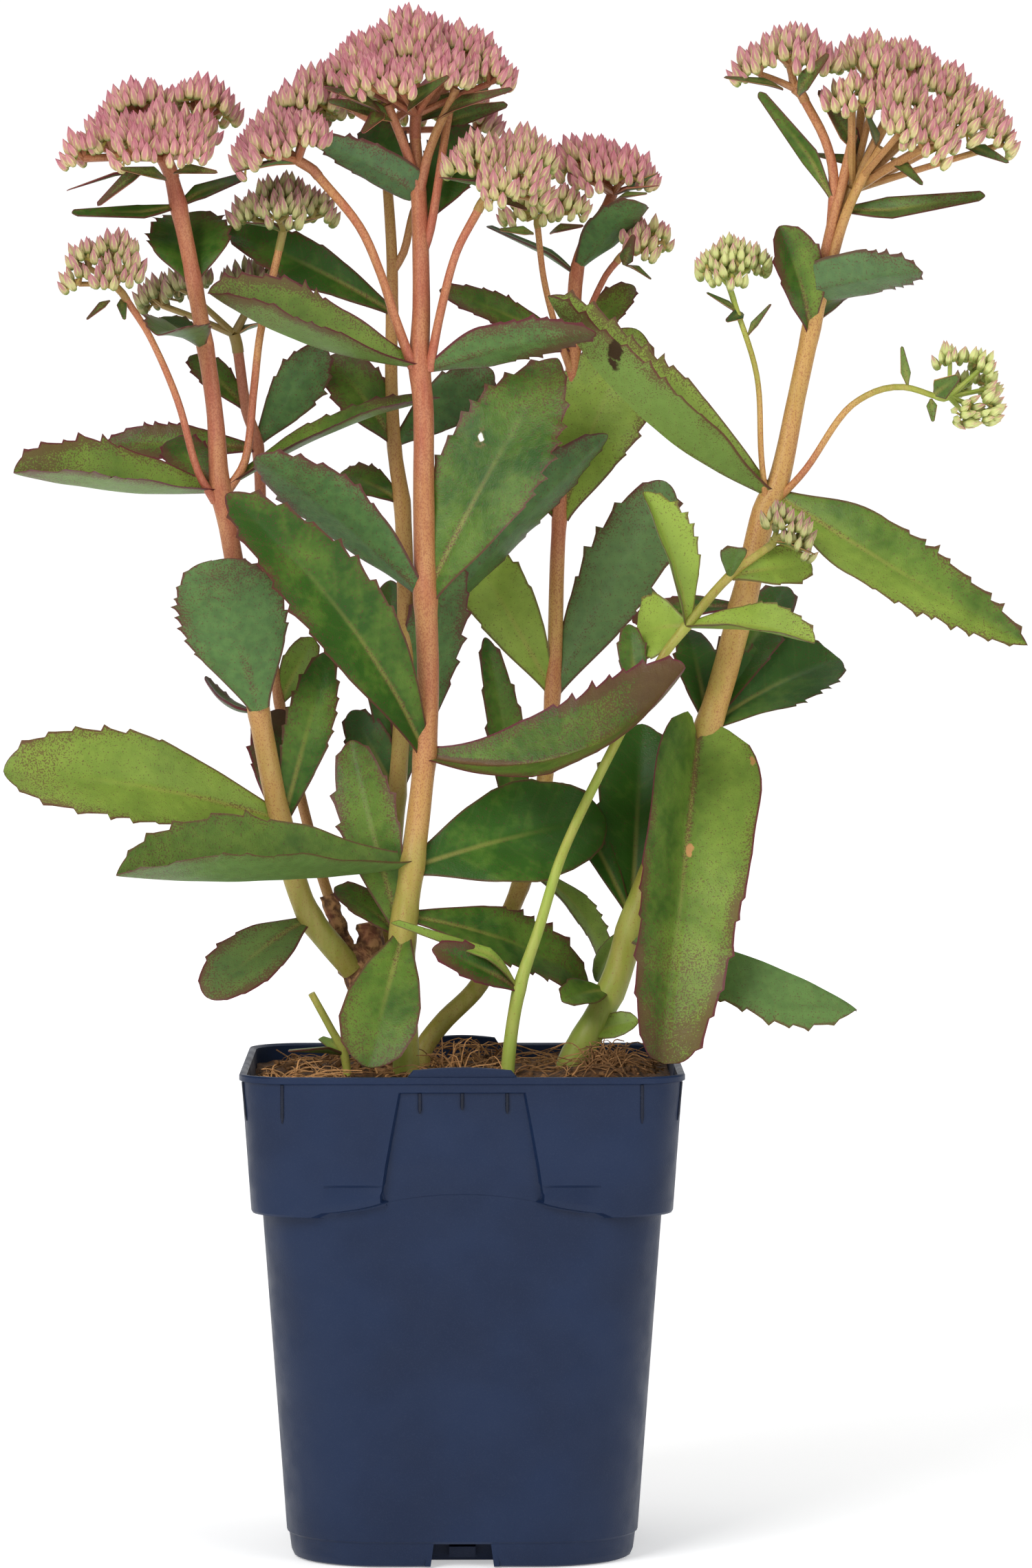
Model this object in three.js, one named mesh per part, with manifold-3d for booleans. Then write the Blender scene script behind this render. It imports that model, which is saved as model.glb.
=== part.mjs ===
// A potted stonecrop: upright fleshy stems with toothed leaves and domed heads of closed buds,
// in a square two-litre nursery pot. Millimetres, +Z up, origin at the middle of the pot's base.
import * as THREE from "three";
import { mergeVertices } from "three/addons/utils/BufferGeometryUtils.js";
import Module from "manifold-3d";

const wasm = await Module();
wasm.setup();

// Driving dimensions
const CLEARANCE = 0.3;
const POT = {
  height: 148.8,
  rimHalf: 66.8,
  collarHalf: { top: 66.1, bottom: 63.3 },
  waistHalf: 60.1,
  baseHalf: 52.9,
  wall: 1.6,
  floor: 2.4,
  footHeight: 7.8,
  collarBottom: 106.3,
  collarRise: 8.3,
  lipHeight: 2,
  cornerTop: 17,
  cornerCollar: 18,
  cornerWaist: 20,
  cornerBase: 29,
  panel: { top: 144.2, bottom: 109.8, halfTop: 18.5, halfBottom: 24.7, depth: 0.8 },
  pocket: { width: 19, depth: 16.5, height: 6.2, wall: 1.4, drainWidth: 8, drainHeight: 3.2 },
  frontTab: { half: 17, height: 3 },
  backTab: { half: 12, height: 2.6 },
  tabThickness: 1.7,
};
const SOIL = { crownHeight: 148.2, half: 64, corner: 15.2, fall: 3.2, relief: 1.1, rings: 3 };
const LEAF = { thickness: 1.9, root: 0.2, toothStart: 0.42, toothEnd: 0.95, toothHeight: 0.07 };
const BUD = { spread: 2.7, height: 6.4, dome: 0.25, valley: 1.5 };

// Plant points are [x, z, depth]: x and z are where the point lines up on the plane through the pot's
// axis, seen from an eye EYE.distance in front at the height EYE.height, and depth is how far behind
// that plane it lies. Their heights count from a level DATUM above the ground. A fourth number on a
// stem is its radius.
const EYE = { distance: 2108, height: 318.8 };
const DATUM = 3.8;

function place([x, z, depth]) {
  const spread = 1 + depth / EYE.distance;
  return new THREE.Vector3(x * spread, depth, EYE.height + (z + DATUM - EYE.height) * spread);
}

// Repeatable noise, so that each build gives the same plant
function seededRandom(seed) {
  let state = seed;
  return () => {
    state = (Math.imul(state, 1664525) + 1013904223) >>> 0;
    return state / 4294967296;
  };
}

// Solids

function solidFrom(vertices, triangles) {
  return new wasm.Manifold(
    new wasm.Mesh({
      numProp: 3,
      vertProperties: new Float32Array(vertices.flatMap((v) => [v.x, v.y, v.z])),
      triVerts: new Uint32Array(triangles.flat()),
    }),
  );
}

function solidOf(geometry) {
  const bare = geometry.clone();
  bare.deleteAttribute("normal");
  bare.deleteAttribute("uv");
  const merged = mergeVertices(bare, 1e-3);
  return new wasm.Manifold(
    new wasm.Mesh({
      numProp: 3,
      vertProperties: merged.attributes.position.array,
      triVerts: new Uint32Array(merged.index.array),
    }),
  );
}

function join(solids) {
  return solids.reduce((whole, piece) => whole.add(piece));
}

function cut(body, tools) {
  return tools.reduce((rest, tool) => rest.subtract(tool), body);
}

function mesh(name, solid, finish) {
  const { vertProperties, triVerts } = solid.getMesh();
  const geometry = new THREE.BufferGeometry();
  geometry.setAttribute("position", new THREE.BufferAttribute(vertProperties, 3));
  geometry.setIndex(new THREE.BufferAttribute(triVerts, 1));
  geometry.computeVertexNormals();
  const made = new THREE.Mesh(geometry, finish);
  made.name = name;
  return made;
}

function finish(color, roughness) {
  return new THREE.MeshStandardMaterial({ color, roughness, metalness: 0 });
}

const FINISH = {
  pot: finish(0x26344f, 0.5),
  soil: finish(0x4a3426, 0.95),
  wood: finish(0x7a5c42, 0.9),
  greenery: finish(0x5f8a3c, 0.45),
  pale: finish(0x9cb85a, 0.45),
  shade: finish(0x55603c, 0.5),
  bud: finish(0xd39aa2, 0.6),
  youngBud: finish(0xb7b482, 0.6),
};

// A closed tapering tube of SIDES faces through points of [position, radius]
function tube(stations, sides, extra = 0) {
  const curve = new THREE.CatmullRomCurve3(stations.map((s) => s.at));
  const last = stations.length - 1;
  const vertices = [];
  const triangles = [];
  let across = null;
  stations.forEach((station, row) => {
    const along = curve.getTangent(row / last);
    const start = across ?? new THREE.Vector3(1, 0, 0);
    across = start.clone().addScaledVector(along, -start.dot(along)).normalize();
    const other = along.clone().cross(across);
    for (let k = 0; k < sides; k++) {
      const turn = (2 * Math.PI * k) / sides;
      const radius = station.radius + extra;
      vertices.push(
        station.at
          .clone()
          .addScaledVector(across, radius * Math.cos(turn))
          .addScaledVector(other, radius * Math.sin(turn)),
      );
    }
  });
  for (let row = 0; row < last; row++) {
    for (let k = 0; k < sides; k++) {
      const a = row * sides + k;
      const b = row * sides + ((k + 1) % sides);
      triangles.push([a, b, b + sides], [a, b + sides, a + sides]);
    }
  }
  const top = last * sides;
  for (let k = 1; k < sides - 1; k++) triangles.push([0, k + 1, k], [top, top + k, top + k + 1]);
  return solidFrom(vertices, triangles);
}

function stations(points) {
  return points.map((point) => ({ at: place(point), radius: point[3] }));
}

// Half-width of a leaf along its length, as a share of the widest, before its teeth
function leafProfile(s, { widest = 0.6, blunt = 0.6, base = LEAF.root }) {
  if (s < widest) {
    const rise = Math.sin((Math.PI / 2) * (s / widest));
    return base + (1 - base) * rise ** 1.3;
  }
  return (1 - ((s - widest) / (1 - widest)) ** 2) ** blunt;
}

// Points [s, half-width] of one edge from root to tip, with forward-pointing teeth
function leafEdge(shape) {
  const { teeth = 4 } = shape;
  const edge = [0, 0.22].map((s) => [s, leafProfile(s, shape)]);
  const step = (LEAF.toothEnd - LEAF.toothStart) / Math.max(teeth, 1);
  for (let i = 0; i < teeth; i++) {
    const valley = LEAF.toothStart + i * step;
    const point = valley + 0.8 * step;
    edge.push([valley, leafProfile(valley, shape) - 0.25 * LEAF.toothHeight]);
    edge.push([point, leafProfile(point, shape) + LEAF.toothHeight]);
  }
  edge.push([1, 0]);
  return edge;
}

const MIDRIB = [0, 0.3, 0.6, 0.86];

// A fleshy blade, thick at its midrib and thin at its toothed edge
function leaf(shape) {
  const { from, to, width, face = [0, 0, 1], arch = 0.05, bow = 0, fold = 18 } = shape;
  const root = place(from);
  const along = place(to).sub(root);
  const length = along.length();
  along.normalize();
  const up = new THREE.Vector3(...face);
  up.addScaledVector(along, -up.dot(along)).normalize();
  const side = along.clone().cross(up);
  const folded = THREE.MathUtils.degToRad(fold);

  const rib = (s) =>
    root
      .clone()
      .addScaledVector(along, length * s)
      .addScaledVector(up, arch * length * 4 * s * (1 - s))
      .addScaledVector(side, bow * length * 4 * s * (1 - s));
  const edge = leafEdge(shape);
  const tip = 0;
  const vertices = [rib(1)];
  const rims = [1, -1].map((sign) =>
    edge.slice(0, -1).map(([s, share]) => {
      const reach = (share * width) / 2;
      const point = rib(s)
        .addScaledVector(side, sign * reach * Math.cos(folded))
        .addScaledVector(up, reach * Math.sin(folded));
      return vertices.push(point) - 1;
    }),
  );
  const ribs = [1, -1].map((sign) =>
    MIDRIB.map((s) => {
      const half = (LEAF.thickness * (1 - 0.45 * s)) / 2;
      return vertices.push(rib(s).addScaledVector(up, sign * half)) - 1;
    }),
  );
  const triangles = [];
  rims.forEach((rim, sideIndex) => {
    ribs.forEach((middle, faceIndex) => {
      const outline = [...rim, tip];
      const flip = sideIndex !== faceIndex;
      let i = 0;
      let j = 0;
      while (i < outline.length - 1 || j < middle.length - 1) {
        const nextEdge = i < outline.length - 1 ? edge[i + 1][0] : 2;
        const nextRib = j < middle.length - 1 ? MIDRIB[j + 1] : 2;
        const triangle =
          nextEdge <= nextRib
            ? [middle[j], outline[i], outline[++i]]
            : [middle[j], outline[i], middle[++j]];
        triangles.push(flip ? triangle.reverse() : triangle);
      }
    });
  });
  const [right, left] = [rims[0][0], rims[1][0]];
  triangles.push([left, right, ribs[0][0]], [left, ribs[1][0], right]);
  return solidFrom(vertices, triangles);
}

// A domed cluster of closed buds: SIDE by SIDE pointed cells on a round patch, which narrows to its stalk
function budCluster(centre, axis, side, random) {
  const across = new THREE.Vector3(1, 0, 0);
  across.addScaledVector(axis, -across.dot(axis)).normalize();
  const other = axis.clone().cross(across);
  const reach = side * BUD.spread;
  const domed = (a, b, lift) => {
    const u = a * Math.sqrt(1 - (b * b) / 2);
    const v = b * Math.sqrt(1 - (a * a) / 2);
    const drop = BUD.dome * reach * (u * u + v * v) * 1.6;
    return centre
      .clone()
      .addScaledVector(across, u * reach)
      .addScaledVector(other, v * reach)
      .addScaledVector(axis, lift - drop);
  };
  const shift = () => (0.5 * (random() - 0.5)) / side;
  const vertices = [];
  const rows = side + 1;
  for (let i = 0; i < rows; i++) {
    for (let j = 0; j < rows; j++) {
      vertices.push(domed((2 * i) / side - 1, (2 * j) / side - 1, -BUD.valley));
    }
  }
  const triangles = [];
  for (let i = 0; i < side; i++) {
    for (let j = 0; j < side; j++) {
      const lift = BUD.height * (0.75 + 0.35 * random()) - BUD.valley;
      const point = domed((2 * i + 1) / side - 1 + shift(), (2 * j + 1) / side - 1 + shift(), lift);
      const apex = vertices.push(point) - 1;
      const corner = i * rows + j;
      const cell = [corner, corner + rows, corner + rows + 1, corner + 1];
      cell.forEach((a, k) => triangles.push([a, cell[(k + 1) % 4], apex]));
    }
  }
  const stalk = vertices.push(centre.clone().addScaledVector(axis, -0.85 * reach)) - 1;
  for (let k = 0; k < side; k++) {
    const [first, last] = [k, side * rows + k];
    triangles.push([k * rows, stalk, (k + 1) * rows], [first + 1, stalk, first]);
    triangles.push([(k + 1) * rows + side, stalk, k * rows + side], [last, stalk, last + 1]);
  }
  return { solid: solidFrom(vertices, triangles), stalk: vertices[stalk] };
}

// Pot

// Points along one side of the pot, as x and the share of the collar's rise there
const SIDE_MARKS = [
  [-36, 0.2],
  [-24, 0.7],
  [0, 1],
  [24, 0.7],
  [36, 0.2],
];

function squareRing(half, corner, z, rise = 0) {
  const points = [];
  for (let quarter = 0; quarter < 4; quarter++) {
    const turned = (x, y, height) => {
      const turn = (quarter * Math.PI) / 2;
      const [c, s] = [Math.cos(turn), Math.sin(turn)];
      points.push(new THREE.Vector3(x * c - y * s, x * s + y * c, height));
    };
    const straight = half - corner;
    const squeeze = Math.min(1, (straight * 0.9) / 36);
    for (const [mark, share] of SIDE_MARKS) turned(mark * squeeze, -half, z + rise * share);
    for (let step = 0; step <= 3; step++) {
      const angle = -Math.PI / 2 + (Math.PI / 6) * step;
      turned(straight + corner * Math.cos(angle), -straight + corner * Math.sin(angle), z);
    }
  }
  return points;
}

function loft(rings) {
  const count = rings[0].length;
  const vertices = rings.flat();
  const triangles = [];
  for (let row = 0; row < rings.length - 1; row++) {
    for (let k = 0; k < count; k++) {
      const a = row * count + k;
      const b = row * count + ((k + 1) % count);
      triangles.push([a, b, b + count], [a, b + count, a + count]);
    }
  }
  const top = (rings.length - 1) * count;
  const middle = (row) => rings[row].reduce((sum, p) => sum.add(p), new THREE.Vector3());
  const under = vertices.push(middle(0).divideScalar(count)) - 1;
  const over = vertices.push(middle(rings.length - 1).divideScalar(count)) - 1;
  for (let k = 0; k < count; k++) {
    const next = (k + 1) % count;
    triangles.push([under, next, k], [over, top + k, top + next]);
  }
  return solidFrom(vertices, triangles);
}

// Half-width and corner radius of the pot's outside at a height on its body
function bodyAt(z) {
  const share = (z - POT.footHeight) / (POT.collarBottom - POT.footHeight);
  return {
    half: THREE.MathUtils.lerp(POT.baseHalf + 0.5, POT.waistHalf, share),
    corner: THREE.MathUtils.lerp(POT.cornerBase, POT.cornerWaist, share),
  };
}

function potRings(inset) {
  const ring = (half, corner, z, rise) => squareRing(half - inset, corner - inset, z, rise);
  const foot = bodyAt(POT.footHeight);
  const waist = bodyAt(POT.collarBottom - 1);
  const rim = POT.height - POT.lipHeight;
  return { ring, foot, waist, rim };
}

function buildPot() {
  const { ring, foot, waist, rim } = potRings(0);
  const outer = [
    ring(POT.baseHalf - 1.2, POT.cornerBase, 0),
    ring(POT.baseHalf, POT.cornerBase, 1.4),
    ring(POT.baseHalf, POT.cornerBase, POT.footHeight - 0.4),
    ring(foot.half, foot.corner, POT.footHeight),
    ring(waist.half, waist.corner, POT.collarBottom - 1, POT.collarRise),
    ring(POT.collarHalf.bottom, POT.cornerCollar, POT.collarBottom, POT.collarRise),
    ring(POT.collarHalf.top, POT.cornerTop, rim),
    ring(POT.rimHalf, POT.cornerTop, rim + 0.3),
    ring(POT.rimHalf, POT.cornerTop, POT.height),
  ];
  const inner = [
    ring(POT.collarHalf.top - POT.wall, POT.cornerTop - POT.wall, POT.height),
    ring(POT.collarHalf.bottom - POT.wall, POT.cornerCollar - POT.wall, POT.collarBottom + 2, POT.collarRise),
    ring(waist.half - POT.wall, waist.corner - POT.wall, POT.collarBottom - 1.5, POT.collarRise),
    ring(foot.half - POT.wall, foot.corner - POT.wall, POT.floor),
  ];
  let pot = loft([...outer, ...inner]);

  const { pocket, panel } = POT;
  const housing = (grow, height) => {
    const width = pocket.width + 2 * grow;
    const depth = pocket.depth + grow;
    return (quarter) =>
      solidOf(
        new THREE.BoxGeometry(width, depth, height)
          .translate(0, -POT.baseHalf + depth / 2 + 0.6, height / 2)
          .rotateZ((quarter * Math.PI) / 2),
      );
  };
  const quarters = [0, 1, 2, 3];
  const walls = quarters.map(housing(pocket.wall, pocket.height + pocket.wall));
  pot = join([pot, ...walls]);
  const hollow = (quarter) =>
    solidOf(
      new THREE.BoxGeometry(pocket.width, pocket.depth + 2, 2 * pocket.height)
        .translate(0, -POT.baseHalf + pocket.depth / 2 - 1, 0)
        .rotateZ((quarter * Math.PI) / 2),
    );
  const drain = (quarter) =>
    solidOf(
      new THREE.BoxGeometry(pocket.drainWidth, 8, 2 * pocket.drainHeight)
        .translate(0, -POT.baseHalf + pocket.depth, POT.floor + pocket.drainHeight / 2)
        .rotateZ((quarter * Math.PI) / 2),
    );
  const recess = (quarter) => {
    const outline = new THREE.Shape();
    outline.moveTo(-panel.halfTop, panel.top);
    outline.lineTo(-panel.halfBottom, panel.bottom);
    outline.lineTo(panel.halfBottom, panel.bottom);
    outline.lineTo(panel.halfTop, panel.top);
    const slab = new THREE.ExtrudeGeometry(outline, { depth: 8, bevelEnabled: false });
    // The recess leans outwards with the collar
    const lean = Math.atan2(POT.collarHalf.top - POT.collarHalf.bottom, rim - POT.collarBottom);
    slab.rotateX(Math.PI / 2).translate(0, 0, -POT.collarBottom);
    slab.rotateX(lean).translate(0, -POT.collarHalf.bottom + panel.depth, POT.collarBottom);
    return solidOf(slab.rotateZ((quarter * Math.PI) / 2));
  };
  pot = cut(pot, [...quarters.map(hollow), ...quarters.map(drain), ...quarters.map(recess)]);

  const tab = ({ half, height }, behind) => {
    const outline = new THREE.Shape();
    outline.moveTo(-half, -2);
    outline.lineTo(-half + 1.2, height * 0.45);
    outline.quadraticCurveTo(0, height * 1.6, half - 1.2, height * 0.45);
    outline.lineTo(half, -2);
    const plate = new THREE.ExtrudeGeometry(outline, {
      depth: POT.tabThickness,
      bevelEnabled: false,
      curveSegments: 8,
    });
    plate.rotateX(Math.PI / 2).translate(0, -POT.rimHalf + POT.tabThickness, POT.height);
    return solidOf(behind ? plate.rotateZ(Math.PI) : plate);
  };
  return join([pot, tab(POT.frontTab, false), tab(POT.backTab, true)]);
}

// Substrate: fills the pot to just under its rim, with a low uneven mound on top
function buildSubstrate(stems) {
  const random = seededRandom(7);
  const { ring, foot, waist } = potRings(CLEARANCE);
  const wallTop = SOIL.crownHeight - SOIL.fall - 1.5;
  const shoulder = { half: POT.collarHalf.bottom - POT.wall - 0.1, corner: POT.cornerCollar - POT.wall };
  const rings = [
    ring(foot.half - POT.wall - 0.1, foot.corner - POT.wall, POT.floor + CLEARANCE),
    ring(waist.half - POT.wall - 0.1, waist.corner - POT.wall, POT.collarBottom - 1, POT.collarRise),
    ring(shoulder.half, shoulder.corner, POT.collarBottom + 2.6, POT.collarRise),
    ring(SOIL.half, SOIL.corner, wallTop),
  ];
  for (let k = 0; k < SOIL.rings; k++) {
    const share = 1 - k / SOIL.rings;
    const level = SOIL.crownHeight - SOIL.fall * share ** 2;
    const loop = squareRing(SOIL.half * share, SOIL.corner * share, level);
    for (const point of loop) point.z += SOIL.relief * (random() - 0.5) - (k ? 0 : 1);
    if (k) rings.push(loop);
  }
  const { pocket } = POT;
  const grow = pocket.wall + CLEARANCE;
  const clear = [0, 1, 2, 3].map((quarter) =>
    solidOf(
      new THREE.BoxGeometry(pocket.width + 2 * grow, pocket.depth + grow + 4, pocket.height + grow)
        .translate(0, -POT.baseHalf + (pocket.depth + grow + 4) / 2 - 3.4, (pocket.height + grow) / 2)
        .rotateZ((quarter * Math.PI) / 2),
    ),
  );
  return cut(loft(rings), [...clear, ...stems]);
}

// Faces that a leaf can show: the direction that its upper side looks
const UP = [0, 0, 1];

// Stems: shoots of [x, z, depth, radius] from the soil upwards, and the leaves on them
const STEMS = {
  stem_front: {
    sides: 6,
    finish: "greenery",
    shoots: {
      main: [
        [-16.6, 120, -24, 4.3],
        [-17.2, 144, -24, 4.4],
        [-18.3, 181, -24, 4.3],
        [-15.5, 203.5, -23, 4.1],
        [-13.2, 221, -21, 3.8],
        [-11.3, 240, -20, 3.8],
        [-10.4, 262, -19, 3.6],
        [-11.2, 288, -18, 3.8],
        [-11.7, 318, -16, 3.5],
        [-11.8, 345, -14, 3.4],
        [-13, 358, -13, 3.5],
        [-12.4, 375, -12, 2.9],
        [-12.8, 401, -10, 2.7],
        [-13.8, 425, -9, 2.4],
      ],
      left: [
        [-15, 357, -14, 1.8],
        [-20.6, 372.5, -18, 1.6],
        [-24.6, 385, -20, 1.5],
        [-31.3, 400, -23, 1.5],
        [-44, 415.5, -26, 1.6],
      ],
      right: [
        [-10, 356, -14, 1.6],
        [-6.5, 374, -18, 1.5],
        [-1.7, 392, -20, 1.4],
        [5, 405, -20, 1.5],
      ],
      rise: [
        [-12.4, 390, -10, 1.4],
        [-9.6, 399, -11, 1.5],
        [-5, 428, -12, 1.4],
      ],
    },
    leaves: [
      {
        from: [-13.4, 411, -10],
        to: [-45.5, 427, -30],
        width: 13,
        face: [0.1, 1, 0.5],
        teeth: 3,
        fold: 12,
        widest: 0.35,
        blunt: 0.7,
        base: 0.8,
      },
      { from: [-12, 401.5, -7], to: [2.5, 431, 8], width: 19, face: [0.3, -1, 0.5] },
      {
        from: [-13, 357.5, -13],
        to: [-77.5, 379.9, -36],
        width: 32,
        face: [0.43, -0.46, 0.78],
        fold: 52,
        arch: -0.05,
        bow: -0.03,
      },
      {
        from: [-11, 356.5, -13],
        to: [41, 367.7, -36],
        width: 17,
        face: [0, 0.8, 0.7],
        widest: 0.4,
        fold: 12,
      },
      { from: [-12, 287.5, -18], to: [-63, 330, -40], width: 24, face: [0.4, 0.8, 0.5], fold: 10 },
      {
        from: [-11.3, 286, -18],
        to: [29.4, 359.7, -7],
        width: 33,
        face: [-0.3, -1, 0.2],
        teeth: 6,
        fold: 8,
        widest: 0.55,
        blunt: 0.72,
      },
      {
        from: [-11.4, 239, -20],
        to: [-72, 318.5, -47],
        width: 28,
        face: [0.2, -1, 0.35],
        teeth: 6,
        arch: 0.07,
        bow: 0.03,
        fold: 20,
        widest: 0.52,
      },
      {
        from: [-11.3, 238.5, -20],
        to: [68.5, 265, -50],
        width: 34,
        face: [-0.45, -0.63, 0.63],
        fold: 35,
        arch: -0.117,
        teeth: 6,
        widest: 0.6,
        blunt: 0.55,
        bow: 0.105,
      },
      {
        from: [-15.2, 205, -23],
        to: [-106, 201.5, -64],
        width: 40,
        face: [0, -0.58, 1],
        fold: 54,
        arch: -0.03,
        teeth: 5,
        blunt: 0.7,
      },
      {
        from: [-15.4, 204, -22],
        to: [44, 219, -5],
        width: 34,
        face: [-0.1, -1, 0.4],
        fold: 10,
        teeth: 2,
      },
      {
        from: [-17.9, 184, -25],
        to: [-29, 142.5, -50],
        width: 25,
        face: [0, -1, 0.4],
        teeth: 1,
        widest: 0.7,
        blunt: 0.5,
      },
      { from: [-17.5, 189, -22], to: [39, 168, -7], width: 23, face: [0, -0.8, 0.8], arch: 0.08 },
      { from: [-18, 182, -23], to: [-34, 243, -10], width: 19, face: [-0.2, -1, 0.1], teeth: 4 },
      { from: [-18, 182, -20], to: [-39, 198, -13], width: 12, face: [0, -0.5, 0.6], teeth: 2 },
      {
        from: [-13.6, 410, -7],
        to: [-29, 431, 9],
        width: 16,
        face: [-0.3, -1, 0.4],
      },
    ],
  },
  stem_left: {
    sides: 6,
    finish: "greenery",
    shoots: {
      main: [
        [-33.5, 172.5, -6, 3.9],
        [-39.9, 180, -8, 4.2],
        [-46.4, 188.4, -9, 4.1],
        [-51, 199.7, -11, 3.9],
        [-56.5, 222, -14, 3.7],
        [-60.9, 244.6, -18, 3.6],
        [-63.6, 260, -21, 3.6],
        [-67.5, 285, -22, 3.2],
        [-71.5, 308, -22, 3.1],
        [-73.9, 320, -22, 3.4],
        [-75.4, 342, -21, 2.8],
        [-77.9, 360.4, -20, 2.8],
        [-82.7, 388, -18, 2.6],
        [-86.5, 406.3, -17, 2.8],
        [-88.6, 415, -17, 2.4],
      ],
      low: [
        [-75.5, 316, -23, 1.5],
        [-80.8, 325.5, -27, 1.3],
        [-86.9, 347, -30, 1.2],
        [-95.3, 366.4, -31, 1.1],
        [-102.5, 377.8, -31, 1.2],
      ],
      middle: [
        [-72.5, 318, -22, 1.7],
        [-66.3, 328.4, -20, 1.4],
        [-63.6, 350, -17, 1.3],
        [-61.5, 367.7, -14, 1.3],
        [-55.8, 393, -12, 1.3],
      ],
    },
    leaves: [
      {
        from: [-86.5, 406.3, -17],
        to: [-119, 404, -34],
        width: 9,
        arch: -0.06,
        teeth: 0,
        face: [0, -0.7, 0.7],
      },
      { from: [-86.5, 406.3, -17], to: [-66, 415, -4], width: 9, teeth: 0, face: [0, -0.7, 0.7] },
      {
        from: [-82.3, 383, -18],
        to: [-83.5, 403.8, 0],
        width: 26,
        face: [0, -1, 0.4],
        teeth: 4,
        widest: 0.5,
        blunt: 0.45,
      },
      { from: [-79.6, 363.5, -20], to: [-93, 367, -58], width: 20, face: [0.2, 0.1, 1], fold: 26 },
      { from: [-79.6, 363.5, -20], to: [-94, 371.5, 4], width: 11, face: [0, -0.4, 1], teeth: 3 },
      {
        from: [-74.3, 319.5, -22],
        to: [-137, 325, -40],
        width: 30,
        face: [0, -0.6, 1],
        fold: 46,
        arch: -0.04,
      },
      {
        from: [-73.9, 319.5, -22],
        to: [-90, 334.5, -7],
        width: 14,
        face: [0, -0.9, 0.5],
        teeth: 3,
      },
      { from: [-73.5, 320, -22], to: [-6.7, 348, 0], width: 14, face: [-0.2, -0.3, 1], fold: 30 },
      {
        from: [-62, 252.5, -22.8],
        to: [-76.5, 298, -40],
        width: 33,
        face: [0, 1, 0.6],
        fold: 8,
        teeth: 6,
        blunt: 0.42,
      },
      { from: [-62.5, 252, -20], to: [-78.6, 262.5, -14], width: 9, arch: -0.15, teeth: 3 },
      {
        from: [-56.5, 219, -14],
        to: [-140.4, 233.5, -38],
        width: 33,
        face: [0, -0.9, 0.6],
        fold: 20,
        blunt: 0.5,
      },
      { from: [-56.8, 219, -14], to: [-56, 252.5, 1], width: 18, face: [0, -1, 0.3], teeth: 4 },
      { from: [-55.5, 216, -13], to: [-41.5, 270, -8], width: 15, face: [0.1, -1, 0], fold: 10 },
      {
        from: [-47.5, 188, -9],
        to: [-78, 164, -36],
        width: 21,
        face: [-0.3, -0.9, 0.4],
        teeth: 4,
        fold: 8,
        blunt: 0.45,
      },
    ],
  },
  stem_middle: {
    sides: 6,
    finish: "greenery",
    shoots: {
      main: [
        [-20, 120, 8, 3.1],
        [-20.5, 150, 8, 3.1],
        [-22.4, 190, 8, 3.1],
        [-20, 226, 5, 3.1],
        [-17.4, 269, 5, 2.9],
        [-18.1, 313, 8, 2.8],
        [-20.6, 332, 8, 2.4],
        [-21.6, 354.5, 8, 2.1],
        [-21.3, 388, 9, 1.9],
        [-23.3, 421, 14, 1.6],
      ],
      right: [
        [-21.3, 386, 9, 1.5],
        [-17.8, 392, 9, 1.4],
        [-13.7, 407, 12, 1.3],
        [-3, 420, 16, 1.2],
      ],
    },
    leaves: [
      { from: [-21.3, 374, 8], to: [-72, 399, 0], width: 16, face: [0, -1, 0.4], teeth: 4 },
      { from: [-20.4, 334, 8], to: [9.5, 356, 5], width: 17, face: [0, 1, 0.2], teeth: 4 },
      { from: [-20.4, 334, 8], to: [-40.5, 360.5, 11], width: 18, face: [0.2, -1, 0.2], teeth: 4 },
      { from: [-19, 316, 8], to: [-37, 325, 16], width: 12, face: [0, -0.8, 0.6], teeth: 4 },
      {
        from: [-17.4, 268, 5],
        to: [44.5, 336.6, 12],
        width: 21,
        face: [-0.4, 0.8, 0.5],
        fold: 22,
        teeth: 6,
      },
      { from: [-20, 226, 5], to: [-22, 292, 20], width: 18, face: [0, -1, 0.1], teeth: 5 },
      { from: [-20, 226, 5], to: [-1.6, 298.6, -3], width: 20, face: [-0.2, 0.9, 0.1], teeth: 5 },
      { from: [-20, 226, 5], to: [-34, 252, 8], width: 14, face: [0, -1, 0.2], teeth: 3 },
      { from: [-21.5, 204, 7], to: [-29.8, 239, 15], width: 12, face: [0, -1, 0.2], teeth: 3 },
    ],
  },
  stem_back: {
    sides: 6,
    finish: "greenery",
    shoots: {
      main: [
        [-13, 120, -3, 3.2],
        [-12.6, 146, -3, 3.3],
        [-6.7, 155.6, 0, 3.2],
        [5.3, 168.2, 5, 3.1],
        [13.3, 187, 10, 3],
        [19.6, 203.5, 15, 3],
        [24.8, 227, 20, 2.8],
        [28, 262, 23, 2.6],
        [29.2, 300, 26, 2.5],
        [30.5, 320, 27, 2.4],
        [33.8, 356.4, 27, 2.4],
        [34.6, 382, 25, 2.4],
        [37, 394, 23, 1.9],
        [43.3, 404.5, 21, 1.7],
      ],
      left: [
        [33.2, 356, 26, 1.3],
        [29, 368, 21, 1.1],
        [25, 384, 18, 1.1],
        [23.1, 400, 16, 1.1],
      ],
      right: [
        [34.2, 357, 27, 1.3],
        [38, 372, 25, 1.1],
        [43.9, 385, 22, 1.1],
        [47.5, 389.5, 21, 1.2],
      ],
    },
    leaves: [
      {
        from: [35, 387, 24],
        to: [54.6, 407.4, 3],
        width: 14.5,
        face: [-0.2, 0.8, 0.6],
        teeth: 3,
        widest: 0.5,
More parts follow.
